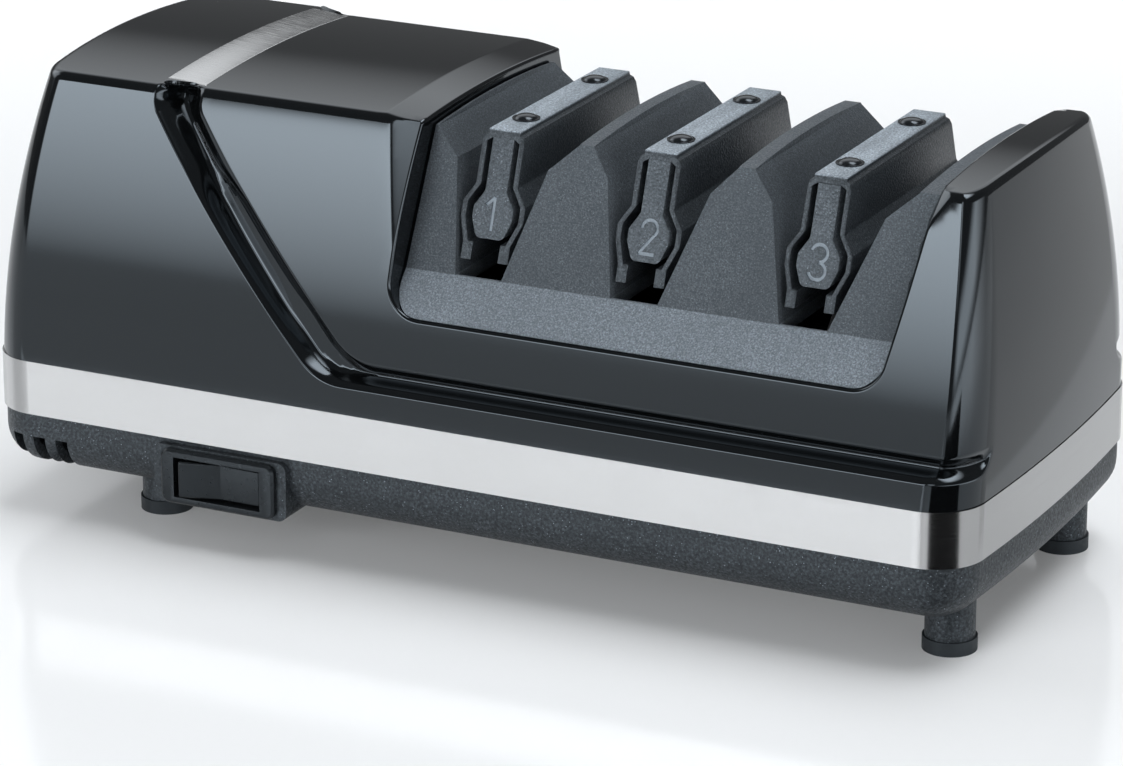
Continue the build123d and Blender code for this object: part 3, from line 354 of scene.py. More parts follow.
# the skin below the groove, the panel above it and the groove's bed
# each corner is a quarter of an ellipse: its extents along the front and along the end
skinForm = {
    "half": (53.0, 48.6, 37.8), "reach": 124.8, "crown": 106.8,
    "turn": (10.4, 8.0, 5.0), "side": (11.8, 9.5, 6.0),
}
panelForm = {
    "half": (51.7, 46.6, 34.6), "reach": 124.8, "crown": 106.2,
    "turn": (7.0, 5.0, 3.0), "side": (14.5, 12.0, 7.0),
}
bedForm = {
    "half": (48.9, 43.7, 30.2), "reach": 123.5, "crown": 104.9,
    "turn": (7.0, 5.0, 3.0), "side": (12.0, 10.0, 6.0),
}
openingPath = {
    "points": ((-15.4, 112.0), (-18.8, 61.6), (100.4, 61.6), (108.7, 112.0)),
    "rounds": (7.5, 7.5), "step": 2.0, "sill": -41.0, "deepest": -54.0, "floorInset": 1.0,
}
groovePath = {
    "low": ((-82.4, 112.0), (-82.4, 100.0), (-35.0, 44.3)),
    "high": ((-72.0, 112.0), (-72.0, 100.0), (-27.0, 49.8)),
    "ahead": 60.0, "headRound": 5.0, "knee": 14.0, "end": 127.5, "step": 1.0, "endTurns": 11,
    "fade": (124.5, 131.5), "head": (104.2, 106.0), "shoulder": (0.5, 2.5),
    "rounder": (80.0, 90.0, 4.4), "lowRounder": (46.0, 60.0, 3.3),
    "tilt": -0.21, "tilted": (48.0, 68.0), "tiltReach": 12.0,
}
nudge = 0.05  # a short way along a layout
same = 1e-6  # places closer than this are one
tiny = 1e-9


def parabola(values, z):
    low, middle, high = shell["levels"]
    return (values[0] * (z - middle) * (z - high) / ((low - middle) * (low - high))
            + values[1] * (z - low) * (z - high) / ((middle - low) * (middle - high))
            + values[2] * (z - low) * (z - middle) / ((high - low) * (high - middle)))


def smooth(share):
    share = np.clip(share, 0, 1)
    return share * share * (3 - 2 * share)


def roofDrop(y):
    return shell["roofRadius"] - np.sqrt(shell["roofRadius"] ** 2 - y * y)


def cornerFrame(form, z, side):
    # half width, bow centre and radius, and the corner's start, tip and end (x; the end also y)
    half = parabola(form["half"], z)
    lean = np.where(side < 0, parabola(shell["leftLeans"], z), parabola(shell["rightLeans"], z))
    radius = (half * half + shell["bow"] ** 2) / (2 * shell["bow"])
    centre = form["reach"] - lean - radius
    lastY = half - parabola(form["side"], z)
    lastX = centre + np.sqrt(radius ** 2 - lastY ** 2)
    tip = lastX - (half - lastY) * lastY / (lastX - centre)
    return half, centre, radius, tip - parabola(form["turn"], z), tip, lastX, lastY


def planPoint(form, s, z):
    # the outline at height z: s runs along the front, round the corners and along the ends
    half, centre, radius, start, tip, lastX, lastY = cornerFrame(form, z, np.sign(s))
    leftEnd, rightEnd = -cornerFrame(panelForm, z, -1)[3], cornerFrame(panelForm, z, 1)[3]
    front, turn, last = shell["frontSpan"], shell["cornerSpan"], shell["endSpan"]
    far = np.abs(s)
    frontX = leftEnd + (np.clip(s, -front, front) + front) / (2 * front) * (rightEnd - leftEnd)
    own = np.sign(s) * start - np.where(s < 0, leftEnd, rightEnd)
    frontX = frontX + own * np.clip((far - shell["ownSpan"]) / (front - shell["ownSpan"]), 0, 1)
    t = np.clip((far - front) / (turn - front), 0, 1)
    a, b, c = (1 - t) ** 2, math.sqrt(2) * t * (1 - t), t * t
    cornerX = (a * start + b * tip + c * lastX) / (a + b + c)
    cornerY = (a * half + b * half + c * lastY) / (a + b + c)
    angle = np.arcsin(lastY / radius) * (1 - np.clip((far - turn) / (last - turn), 0, 1))
    endX, endY = centre + radius * np.cos(angle), radius * np.sin(angle)
    x = np.where(far <= front, frontX, np.sign(s) * np.where(far <= turn, cornerX, endX))
    y = np.where(far <= front, half, np.where(far <= turn, cornerY, endY))
    return x, -y


def roofEdge(form, s):
    # how high the roof meets the wall
    edge = np.full_like(s, form["crown"] - shell["edgeGuess"])
    for _ in range(shell["edgeTries"]):
        edge = form["crown"] - roofDrop(planPoint(form, s, edge)[1])
    return edge


def formPoint(form, s, v):
    # the wall below wallTop, and over it the bend into the roof
    low, bend, top = shell["levels"][0], shell["bend"], shell["wallTop"]
    edge = roofEdge(form, s)
    z = low + np.clip((v - low) / (top - low), 0, 1) * (edge - bend - low)
    wallX, wallY = planPoint(form, s, z)
    edgeX, edgeY = planPoint(form, s, edge)
    aheadX, aheadY = planPoint(form, s + nudge, edge)
    behindX, behindY = planPoint(form, s - nudge, edge)
    tangentX, tangentY = aheadX - behindX, aheadY - behindY
    length = np.hypot(tangentX, tangentY)
    roofX, roofY = edgeX - bend * tangentY / length, edgeY + bend * tangentX / length
    u = np.clip((v - top) / shell["bendSpan"], 0, 1)
    a, b, c = (1 - u) ** 2, 2 * u * (1 - u), u * u
    return np.stack([
        a * wallX + b * edgeX + c * roofX,
        a * wallY + b * edgeY + c * roofY,
        a * z + b * edge + c * (form["crown"] - roofDrop(roofY)),
    ], 1)


def toDomain(points):
    # places seen from the front, x and z, on the flat layout
    x, z = points[:, 0], points[:, 1]
    left, right = -cornerFrame(panelForm, z, -1)[3], cornerFrame(panelForm, z, 1)[3]
    front = shell["frontSpan"]
    s = -front + 2 * front * (x - left) / (right - left)
    foot = roofEdge(panelForm, np.zeros(1))[0] - shell["bend"]
    low = shell["levels"][0]
    v = low + (z - low) / (foot - low) * (shell["wallTop"] - low)
    return np.stack([s, v], 1)


def rounded(points, rounds, pieces=10):
    # a polyline with its inner corners rounded
    points = [np.array(p, float) for p in points]
    made = [points[0]]
    for before, corner, after, radius in zip(points, points[1:], points[2:], rounds):
        back, ahead = before - corner, after - corner
        back, ahead = back / np.linalg.norm(back), ahead / np.linalg.norm(ahead)
        half = math.acos(float(np.clip(back @ ahead, -1, 1))) / 2
        reach = radius / math.tan(half)
        centre = corner + (back + ahead) / np.linalg.norm(back + ahead) * radius / math.sin(half)
        start, end = corner + back * reach - centre, corner + ahead * reach - centre
        turn = math.pi - 2 * half
        for share in np.linspace(0, 1, pieces + 1):
            along = start * math.sin((1 - share) * turn) + end * math.sin(share * turn)
            made.append(centre + along / math.sin(turn))
    made.append(points[-1])
    return np.array(made)


def sampled(points, step):
    # a polyline with points every step
    made = [points[0]]
    for a, b in zip(points, points[1:]):
        count = max(1, int(round(np.linalg.norm(b - a) / step)))
        made += [a + (b - a) * (i + 1) / count for i in range(count)]
    return np.array(made)


def offsetPath(points, distance, sharpest=0.3):
    # to the left of the path's own direction; sharpest limits how far a corner point moves
    ahead = np.diff(points, axis=0)
    ahead /= np.linalg.norm(ahead, axis=1)[:, None]
    side = np.stack([-ahead[:, 1], ahead[:, 0]], 1)
    corner = np.vstack([side[:1], side[:-1] + side[1:], side[-1:]])
    corner /= np.linalg.norm(corner, axis=1)[:, None]
    stretch = 1 / np.clip(np.sum(corner * np.vstack([side[:1], side]), 1), sharpest, 1)
    return points + corner * (distance * stretch)[:, None]


def pathDistance(points, path):
    # nearest distance to the path, and its signed side (positive on the left)
    best = np.full(len(points), np.inf)
    side = np.zeros(len(points))
    for a, b in zip(path, path[1:]):
        run = b - a
        share = np.clip((points - a) @ run / (run @ run), 0, 1)
        gap = points - a - share[:, None] * run
        away = np.linalg.norm(gap, axis=1)
        turn = run[0] * (points[:, 1] - a[1]) - run[1] * (points[:, 0] - a[0])
        nearer = away < best - tiny
        best = np.where(nearer, away, best)
        side = np.where(nearer, np.sign(turn), side)
    return best, side


def insidePolygon(points, polygon):
    # which points lie inside, by counting the sides that a ray crosses
    inside = np.zeros(len(points), bool)
    for (x0, y0), (x1, y1) in zip(polygon, np.roll(polygon, -1, 0)):
        crosses = (y0 > points[:, 1]) != (y1 > points[:, 1])
        with np.errstate(divide="ignore", invalid="ignore"):
            at = (x1 - x0) * (points[:, 1] - y0) / (y1 - y0) + x0
        inside ^= crosses & (points[:, 0] < at)
    return inside


def sampledTogether(first, second, step):
    # two polylines with as many points each, sampled in step
    made = [[first[0]], [second[0]]]
    for i in range(len(first) - 1):
        count = max(1, int(round(np.linalg.norm(first[i + 1] - first[i]) / step)))
        for part, path in zip(made, (first, second)):
            part += [path[i] + (path[i + 1] - path[i]) * (j + 1) / count for j in range(count)]
    return np.array(made[0]), np.array(made[1])


def grooveEdges():
    # the lower and the upper edge on the flat layout, from the roof to the end
    path = groovePath
    made = []
    for key in ("low", "high"):
        points = list(path[key])
        flat = toDomain(rounded(points + [(path["ahead"], points[-1][1])], (path["headRound"], path["knee"])))
        flat[0, 1] = shell["wallTop"] + 3 * shell["bendSpan"]
        made.append(np.vstack([flat, [(path["end"], flat[-1, 1])]]))
    return sampledTogether(*made, path["step"])


def grooveRow(share):
    # a line inside the groove, from the lower edge (0) round the end to the upper edge
    near, far = (grooveLow + (grooveHigh - grooveLow) * part for part in (share, 1 - share))
    middle, radius = (near[-1] + far[-1]) / 2, (far[-1, 1] - near[-1, 1]) / 2
    turn = np.linspace(0, math.pi, groovePath["endTurns"])[1:-1]
    return np.vstack([near, middle + radius * np.stack([np.sin(turn), -np.cos(turn)], 1), far[::-1]])


grooveLow, grooveHigh = grooveEdges()
grooveLine = grooveRow(0)
openingProfile = rounded(openingPath["points"], openingPath["rounds"])
openingOuter = offsetPath(sampled(toDomain(openingProfile), openingPath["step"]), -shell["lip"])


def coverPoint(s, v):
    # the wall and roof edge of the cover at flat places s, v
    flat = np.stack([s, v], 1)
    away, _ = pathDistance(flat, grooveLine)
    signed = np.where(insidePolygon(flat, grooveLine), away, -away)
    lowAway, lowSide = pathDistance(flat, grooveLow)
    highAway, highSide = pathDistance(flat, grooveHigh)
    between = lowAway / np.maximum(lowAway + highAway, tiny)
    across = np.where(lowSide < 0, 0.0, np.where(highSide > 0, 1.0, between))
    rise = smooth(across)[:, None]
    base = formPoint(skinForm, s, v) * (1 - rise) + formPoint(panelForm, s, v) * rise
    bed = formPoint(bedForm, s, v)
    tilt = np.clip(lowAway - highAway, -groovePath["tiltReach"], groovePath["tiltReach"]) / 2
    bed[:, 1] += groovePath["tilt"] * tilt * ramped(v, *groovePath["tilted"])
    deep = grooveDepth(s, v, signed)[:, None]
    point = base * (1 - deep) + bed * deep
    return trimmed(point, smooth((v - shell["wallTop"]) / shell["bendSpan"]))


def ramped(value, start, end):
    return smooth((value - start) / (end - start))


def grooveDepth(s, v, signed):
    # 0 outside the groove and 1 on its bed; the inner shoulder widens at the top and at the bottom
    outer, inner = groovePath["shoulder"]
    start, end, topInner = groovePath["rounder"]
    width = inner + (topInner - inner) * ramped(v, start, end)
    start, end, lowInner = groovePath["lowRounder"]
    width = width + (lowInner - inner) * (1 - ramped(v, start, end))
    fade = (1 - ramped(s, *groovePath["fade"])) * (1 - ramped(v, *groovePath["head"]))
    return smooth((signed + outer) / (outer + width)) * fade


def facetPlane(facet):
    # a point of the plane and its outward normal
    a, b, c = (np.array(p) for p in facet["corners"])
    normal = np.cross(b - a, c - a)
    return a, normal / np.linalg.norm(normal)


def facetExcess(facet, point):
    # how far points stand out of the facet, which bulges a little so that its crease is straight
    top, normal = facetPlane(facet)
    low = facet["corners"][1][2]
    height = np.clip((point[:, 2] - low) / (top[2] - low), 0, 1)
    return (point - top) @ normal - facet["bulge"] * 4 * height * (1 - height)


def trimmed(point, tip):
    # the slope beside the opening and the corner facets; tip is 0 on a wall and 1 on the roof
    x = point[:, 0]
    past = np.clip(x - shell["slopeStart"], 0, shell["slopeReach"]) * (x < shell["slopeEnd"])
    point = point - np.stack([np.zeros(len(point)), np.zeros(len(point)), past * shell["slope"] * tip], 1)
    for facet in facets:
        normal = facetPlane(facet)[1]
        excess = facetExcess(facet, point)
        x, z = point[:, 0], point[:, 2]
        near = (x > facet["span"][0]) & (x < facet["span"][1]) & (z > facet["above"])
        soft = 0.5 * (excess + np.sqrt(excess * excess + shell["facetSoft"] ** 2)) * near
        soft = np.where(excess < -shell["facetReach"], 0, soft)
        way = normal * (0, 1, 1)
        point = point - way * (soft / (way @ normal))[:, None]
    return point


def headEdge(line, form):
    # where an edge of the groove meets the roof
    flat = clipTop(line)[0]
    return formPoint(form, flat[:1], flat[1:])[0, 0]


def clipTop(path):
    # the part of a path below the end of the roof bend, which both of its ends may reach
    top = shell["wallTop"] + shell["bendSpan"]
    made = []
    for a, b in zip(path, path[1:]):
        if a[1] <= top:
            made.append(a)
        if (a[1] > top) != (b[1] > top):
            made.append(a + (b - a) * (top - a[1]) / (b[1] - a[1]))
    if path[-1][1] <= top:
        made.append(path[-1])
    return np.array(made)


stripLeft, stripRight = headEdge(grooveLow, skinForm), headEdge(grooveHigh, panelForm)
lipLeft, lipRight = (formPoint(panelForm, end[:1], end[1:])[0, 0] for end in clipTop(openingOuter)[[0, -1]])


def roofPoint(x, y):
    share = smooth((x - stripLeft) / (stripRight - stripLeft))
    crown = skinForm["crown"] * (1 - share) + panelForm["crown"] * share
    return trimmed(np.stack([x, y, crown - roofDrop(y)], 1), 1)


def slopes(place, first, second, step=0.01):
    # outward normals of a surface, from small steps on its flat layout
    along = place(first + step, second) - place(first - step, second)
    up = place(first, second + step) - place(first, second - step)
    normal = np.cross(along, up)
    return normal / np.linalg.norm(normal, axis=1)[:, None]


def triangulated(points, chains, region, tolerance=1e-5):
    # points and chains of points on a flat region, as vertices and triangles
    flat, edges = [tuple(p) for p in points], []
    for chain in chains:
        start = len(flat)
        flat += [tuple(p) for p in chain]
        edges += [(start + i, start + i + 1) for i in range(len(chain) - 1)]
    found = delaunay_2d_cdt([Vector(p) for p in flat], edges, [], 0, tolerance, False)
    verts = np.array([tuple(p) for p in found[0]])
    faces = np.array(found[2])
    middle = verts[faces].mean(1)
    return verts, faces[insidePolygon(middle, region)]


def gridIn(region, columns, rows, rowsOfPaths, clear):
    # a grid of points inside a region, kept clear of the paths
    grid = np.stack(np.meshgrid(columns, rows), -1).reshape(-1, 2)
    grid = grid[insidePolygon(grid, region)]
    for path in rowsOfPaths:
        grid = grid[pathDistance(grid, path)[0] > clear]
    return grid


coverMesh = {
    "grid": 2.6, "turnStep": 0.8, "clear": 0.9, "pathClear": 1.8, "lipClear": 0.25,
    "outsideRows": (0.06, 0.28, 0.5, 1.3),
    "insideRows": (0.0, 0.02, 0.05, 0.09, 0.14, 0.2, 0.27, 0.34, 0.42),
    "stripRows": (0.0, 1.3, 2.6, 3.9), "lipTurns": (0, 15, 35, 55, 75, 90), "lipSettle": 4,
    "creaseRows": (-0.9, -0.35, 0.0, 0.35, 0.9), "creaseTries": 20, "creaseStep": 0.8, "creaseEnd": 0.5,
    "bendRows": (0.0, 0.17, 0.33, 0.5, 0.67, 0.83), "rowGap": 0.02, "rowSlack": 1e-3, "lastStep": 0.6,
    "frontEdge": -25.0, "columnSnap": 0.12, "columnInset": 0.4, "onEdge": 1e-4, "onLine": 0.02,
}


def creasePath(facet):
    # where a corner facet meets the front, on the flat layout
    top = shell["wallTop"] + shell["bendSpan"]
    rows = np.append(np.arange(facet["from"], top - coverMesh["creaseEnd"], facet["step"]), top)
    s = np.full(len(rows), facet["start"])
    across = facetPlane(facet)[1][0]
    for _ in range(coverMesh["creaseTries"]):
        s = s - coverMesh["creaseStep"] * facetExcess(facet, formPoint(panelForm, s, rows)) / across
    return np.stack([s, rows], 1)


def level(values, height):
    # a row of places at one height of the layout
    return np.stack([values, np.full(len(values), height)], 1)


def upright(place, heights):
    return np.stack([np.full(len(heights), place), heights], 1)


def topPlaces(columns, chains, creases, lip, top):
    # where the top row of the wall has points, so that every line that ends there meets one
    starts = [chain[i][0] for chain in chains for i in (0, -1) if abs(chain[i][1] - top) < same]
    starts += [crease[-1, 0] + d for crease in creases for d in coverMesh["creaseRows"]]
    places = np.concatenate([columns, starts, [lip[0][0], lip[-1][0]]])
    places = np.array(sorted(set(np.round(places, 4))))
    return places[np.append(True, np.diff(places) > coverMesh["rowGap"])]


def wallSheet():
    low, top = shell["levels"][0], shell["wallTop"] + shell["bendSpan"]
    last, front, turn = shell["endSpan"], shell["frontSpan"], shell["cornerSpan"]
    step = coverMesh["grid"]
    lip = clipTop(openingOuter)
    chains = [clipTop(offsetPath(grooveLine, -d)) for d in coverMesh["outsideRows"]]
    chains += [clipTop(grooveRow(share)) for share in coverMesh["insideRows"]]
    chains.append(clipTop((grooveLow + grooveHigh) / 2))
    creases = [creasePath(facet) for facet in facets]
    turns, ends = np.arange(front, turn, coverMesh["turnStep"]), np.arange(turn, last, step)
    fronts = np.arange(-front, front, step)
    columns = np.concatenate([fronts, turns, -turns, ends, -ends, [last, -last, front]])
    topRow = topPlaces(columns, chains, creases, lip, top)
    topLeft = topRow[topRow <= lip[0][0] + coverMesh["rowSlack"]]
    topRight = topRow[topRow >= lip[-1][0] - coverMesh["rowSlack"]]
    lip[0][0], lip[-1][0] = topLeft[-1], topRight[0]
    rise = np.arange(low, top, step)
    border = np.vstack([
        level(np.sort(columns), low), upright(last, rise)[1:], level(topRight[::-1], top),
        lip[::-1][1:-1], level(topLeft[::-1], top), upright(-last, rise)[:0:-1],
    ])
    for crease in creases:
        for d in coverMesh["creaseRows"]:
            line = crease + (d, 0)
            line[-1, 0] = topRow[np.argmin(np.abs(topRow - line[-1, 0]))]
            held = insidePolygon(line, border) & (pathDistance(line, lip)[0] > coverMesh["lipClear"])
            chains.append(line[held | (line[:, 1] > top - same)])
    chains = [border, border[[-1, 0]]] + chains
    for share in coverMesh["bendRows"]:
        row = shell["wallTop"] + share * shell["bendSpan"]
        chains += [level(topLeft, row), level(topRight, row)]
    rows = np.arange(low + step, shell["wallTop"] - 1, step)
    grid = gridIn(border, columns, rows, [grooveLine, lip] + creases, coverMesh["pathClear"])
    grid = grid[~insidePolygon(grid, grooveLine)]
    flat, faces = triangulated(grid, chains, border)
    return flat, faces, topLeft, topRight, lip


def roofSheet(edge, lipX, side):
    # edge: the wall's top row, from the end to the opening
    step = coverMesh["grid"]
    mark = edge[-1] if side < 0 else edge[0]
    lipRow = upright(lipX, np.append(np.arange(mark[1], -step * coverMesh["lastStep"], step), 0))
    lipRow[0] = mark
    endX = edge[0][0] if side < 0 else edge[-1][0]
    middle = level(np.arange(min(endX, lipX) + step, max(endX, lipX) - step / 2, step), 0.0)
    if side < 0:
        border = np.vstack([edge, lipRow[1:], middle[::-1]])
    else:
        border = np.vstack([edge, middle[::-1], lipRow[::-1][:-1]])
    chains = [border, border[[-1, 0]]]
    if side < 0:
        for d in coverMesh["stripRows"]:
            chains += [columnTo(edge, stripLeft + d), columnTo(edge, stripRight - d)]
        for d in coverMesh["creaseRows"]:
            chains.append(columnTo(edge, shell["slopeStart"] + d))
    low, high = border.min(0), border.max(0)
    grid = gridIn(border, np.arange(low[0], high[0], step), np.arange(low[1], high[1], step),
                  [border, border[[-1, 0]]], coverMesh["clear"])
    return triangulated(grid, chains, border)


def columnTo(edge, x):
    # a line across the roof from the nearest point of its front edge
    behind = edge[:, 1] > coverMesh["frontEdge"]
    nearest = edge[np.argmin(np.where(behind, np.inf, np.abs(edge[:, 0] - x)))]
    step = coverMesh["grid"]
    start = np.array([x, np.interp(x, edge[:, 0], edge[:, 1]) + coverMesh["columnInset"]])
    if abs(nearest[0] - x) < coverMesh["columnSnap"]:
        start = nearest
    rows = np.append(np.arange(start[1] + step, -step * coverMesh["lastStep"], step), 0)
    return np.vstack([start, upright(x, rows)])


def lipSheet(row, normals, ends):
    # the rounded lip, swept along the edge of the opening; ends count the points on the roof at each end
    run = np.gradient(row[:, [0, 2]], axis=0)
    inward = np.stack([-run[:, 1], np.zeros(len(row)), run[:, 0]], 1)
    inward /= np.linalg.norm(inward, axis=1)[:, None]
    first, last = ends[0] + coverMesh["lipSettle"], ends[1] + coverMesh["lipSettle"]
    inward[:first], inward[-last:] = inward[first], inward[-last - 1]
    along = inward - np.sum(inward * normals, 1)[:, None] * normals
    along /= np.linalg.norm(along, axis=1)[:, None]
    lip, turns = shell["lip"], np.radians(coverMesh["lipTurns"])
    points = [row + lip * (math.sin(a) * along - (1 - math.cos(a)) * normals) for a in turns]
    turned = [math.sin(a) * along + math.cos(a) * normals for a in turns]
    count = len(row)
    starts = [k * count + i for k in range(len(turns) - 1) for i in range(count - 1)]
    faces = [(start, start + 1, start + count) for start in starts]
    faces += [(start + 1, start + count + 1, start + count) for start in starts]
    return np.vstack(points), np.vstack(turned), np.array(faces), points[-1]


def openingSheet(edge):
    # the opening's own walls inside the lip, laid out as y and the way along the opening
    profile = openingProfile
    along = np.concatenate([[0], np.cumsum(np.linalg.norm(np.diff(profile, axis=0), axis=1))])
    flatEdge = np.stack([edge[:, 1], [wayAlong(profile, along, p) for p in edge[:, [0, 2]]]], 1)
    low = np.nonzero(np.abs(profile[:, 1] - profile[:, 1].min()) < coverMesh["onLine"])[0]
    inset = openingPath["floorInset"]
    floorStart, floorEnd = along[low[0]] + inset, along[low[-1]] - inset
    step, sill = coverMesh["grid"], openingPath["sill"]
    border = np.vstack([flatEdge, [(0, floorEnd), (sill, floorEnd), (sill, floorStart), (0, floorStart)]])
    ring = sampledRows(np.vstack([border, border[:1]]), step)
    rows = np.arange(openingPath["deepest"], 0, step)
    grid = gridIn(border, rows, np.arange(0, along[-1], step), [ring], coverMesh["clear"])
    flat, faces = triangulated(grid, [ring], border)

    def placed(shift):
        return np.stack([np.interp(flat[:, 1] + shift, along, profile[:, i]) for i in (0, 1)], 1)

    run = placed(nudge) - placed(-nudge)
    run /= np.linalg.norm(run, axis=1)[:, None]
    place = placed(0)
    points = np.stack([place[:, 0], flat[:, 0], place[:, 1]], 1)
    snapTo(points, flat, flatEdge, edge)
    return points, np.stack([-run[:, 1], np.zeros(len(flat)), run[:, 0]], 1), faces


def snapTo(points, flat, flatEdge, edge):
    # points whose flat places lie on an edge take that edge's exact points
    for i, spot in enumerate(flat):
        away = np.linalg.norm(flatEdge - spot, axis=1)
        if away.min() < coverMesh["onEdge"]:
            points[i] = edge[away.argmin()]


def wayAlong(profile, along, spot):
    # how far along a polyline its nearest point lies
    run = np.diff(profile, axis=0)
    length = np.sum(run * run, 1)
    share = np.clip(np.sum((spot - profile[:-1]) * run, 1) / length, 0, 1)
    nearest = np.argmin(np.linalg.norm(profile[:-1] + run * share[:, None] - spot, axis=1))
    return along[nearest] + share[nearest] * math.sqrt(length[nearest])


def sampledRows(chain, step):
    # long straight runs get points, which no other sheet shares
    made = [chain[0]]
    for a, b in zip(chain, chain[1:]):
        length = np.linalg.norm(b - a)
        count = int(length / step) if length > 3 * step else 1
        made += [a + (b - a) * (i + 1) / count for i in range(count)]
    return np.array(made)


def joinSheets(sheets, tolerance=0.004):
    # sheets of (points, normals, faces) as one, with shared points merged; later sheets win a shared normal
    points = np.vstack([s[0] for s in sheets])
    normals = np.vstack([s[1] for s in sheets])
    starts = np.cumsum([0] + [len(s[0]) for s in sheets])
    faces = np.vstack([s[2] + start for s, start in zip(sheets, starts)])
    keys = {}
    target = np.zeros(len(points), int)
    for i, cell in enumerate(map(tuple, np.round(points / tolerance).astype(int))):
        found = None
        for dx, dy, dz in product((-1, 0, 1), repeat=3):
            found = keys.get((cell[0] + dx, cell[1] + dy, cell[2] + dz), found)
        if found is None:
            keys[cell] = found = i
        target[i] = found
    kept = np.unique(target)
    place = np.zeros(len(points), int)
    place[kept] = np.arange(len(kept))
    chosen = normals[kept]
    for i in range(len(points)):
        chosen[place[target[i]]] = normals[i]
    faces = place[target[faces]]
    whole = (faces[:, 0] != faces[:, 1]) & (faces[:, 1] != faces[:, 2]) & (faces[:, 0] != faces[:, 2])
    return points[kept], chosen, faces[whole]


def turnedOut(points, normals, faces):
    # every face looks the way its corners' normals do
    a, b, c = (points[faces[:, i]] for i in range(3))
    facing = np.sum(np.cross(b - a, c - a) * normals[faces].sum(1), 1)
    faces[facing < 0] = faces[facing < 0][:, ::-1]
    return faces


def shelled(points, normals, faces, wall):
    # a closed shell: the sheet, its inner side, and a rim round its free edges
    count = len(points)
    inner = faces[:, ::-1] + count
    edges = {}
    for face in faces:
        for a, b in ((face[0], face[1]), (face[1], face[2]), (face[2], face[0])):
            key = (min(a, b), max(a, b))
            edges[key] = None if key in edges else (a, b)
    rim = [(b, a, a + count, b + count) for a, b in filter(None, edges.values())]
    allFaces = [tuple(f) for f in faces] + [tuple(f) for f in inner] + rim
    return np.vstack([points, points - normals * wall]), np.vstack([normals, -normals]), allFaces


def makeCover():
    wallFlat, wallFaces, topLeft, topRight, lip = wallSheet()
    wall = coverPoint(wallFlat[:, 0], wallFlat[:, 1])
    sheets = [(wall, slopes(coverPoint, wallFlat[:, 0], wallFlat[:, 1]), wallFaces)]
    top = shell["wallTop"] + shell["bendSpan"]
    tops = []
    for row, lipX, side in ((topLeft, lipLeft, -1), (topRight, lipRight, 1)):
        edge = coverPoint(row, np.full(len(row), top))
        flat, faces = roofSheet(edge[:, :2], lipX, side)
        roof = roofPoint(flat[:, 0], flat[:, 1])
        normals = slopes(roofPoint, flat[:, 0], flat[:, 1])
        snapTo(roof, flat, edge[:, :2], edge)
        sheets.append((roof, normals, faces))
        onLip = np.nonzero(np.abs(flat[:, 0] - lipX) < coverMesh["onLine"])[0]
        onLip = onLip[np.argsort(side * flat[onLip, 1])]
        tops.append((roof[onLip], normals[onLip]))
    (leftTop, leftNormals), (rightTop, rightNormals) = tops
    row = np.vstack([leftTop[:-1], coverPoint(lip[:, 0], lip[:, 1]), rightTop[1:]])
    normals = np.vstack([leftNormals[:-1], slopes(coverPoint, lip[:, 0], lip[:, 1]), rightNormals[1:]])
    points, normals, faces, edge = lipSheet(row, normals, (len(leftTop), len(rightTop)))
    sheets += [(points, normals, faces), openingSheet(edge)]
    half = joinSheets(sheets)
    mirrored = (half[0] * (1, -1, 1), half[1] * (1, -1, 1), half[2])
    points, normals, faces = joinSheets([half, mirrored])
    faces = turnedOut(points, normals, faces)
    return meshPiece("coverShell", *shelled(points, normals, faces, shell["wall"]))


stripShape = {
    "proud": 0.10, "thick": 0.8, "gap": 0.1, "across": 14, "along": 60, "inset": 0.6,
    "overhang": 0.1, "turn": 1.0, "drop": 0.3, "edge": 0.3, "edgePoints": 7,
}


def stripPoint(x, y, form, reach):
    # the inlay's upper side, with rounded edges and turned down at its front and rear ends
    edge = form["edge"]
    turned = np.clip((np.abs(y) - (reach - form["turn"])) / form["turn"], 0, 1)
    middle, half = (stripLeft + stripRight) / 2, (stripRight - stripLeft) / 2 - form["gap"]
    inset = np.minimum(half - np.abs(x - middle), reach - np.abs(y))
    lost = np.clip(edge - inset, 0, edge * 0.99)
    point = roofPoint(x, y)
    point[:, 2] += form["proud"] - form["drop"] * turned ** 2 - edge + np.sqrt(edge ** 2 - lost ** 2)
    return point


def makeStrip(form):
    # the inlay over the roof
    left, right = stripLeft + form["gap"], stripRight - form["gap"]
    edgeY = -coverPoint(clipTop(grooveHigh)[:1, 0], np.array([shell["wallTop"] + shell["bendSpan"]]))[0, 1]
    reach = edgeY + form["overhang"]
    ends = np.linspace(0, 1, form["edgePoints"]) ** 2 * form["edge"]

    def spaced(start, end, count):
        inner = np.linspace(start + form["inset"], end - form["inset"], count)
        return np.concatenate([start + ends, inner, end - ends[::-1]])

    across, along = spaced(left, right, form["across"]), spaced(-reach, reach, form["along"])
    x, y = (part.ravel() for part in np.meshgrid(across, along))
    points = stripPoint(x, y, form, reach)
    wide, long = len(across), len(along)
    cell = np.array([(start, start + 1, start + wide + 1, start + wide)
                     for start in (j * wide + i for j in range(long - 1) for i in range(wide - 1))])
    faces = np.vstack([cell[:, :3], cell[:, [0, 2, 3]]])
    normals = slopes(lambda a, b: stripPoint(a, b, form, reach), x, y)
    count = len(points)
    points, normals, faces = shelled(points, normals, turnedOut(points, normals, faces), 0)
    points[count:, 2] -= form["thick"]
    return meshPiece("roofInlay", points, normals, faces)


def placedObject(name, mesh):
    made = bpy.data.objects.new(name, mesh)
    bpy.context.collection.objects.link(made)
    return made


def smoothed(mesh):
    mesh.polygons.foreach_set("use_smooth", [True] * len(mesh.polygons))
    mesh.update()


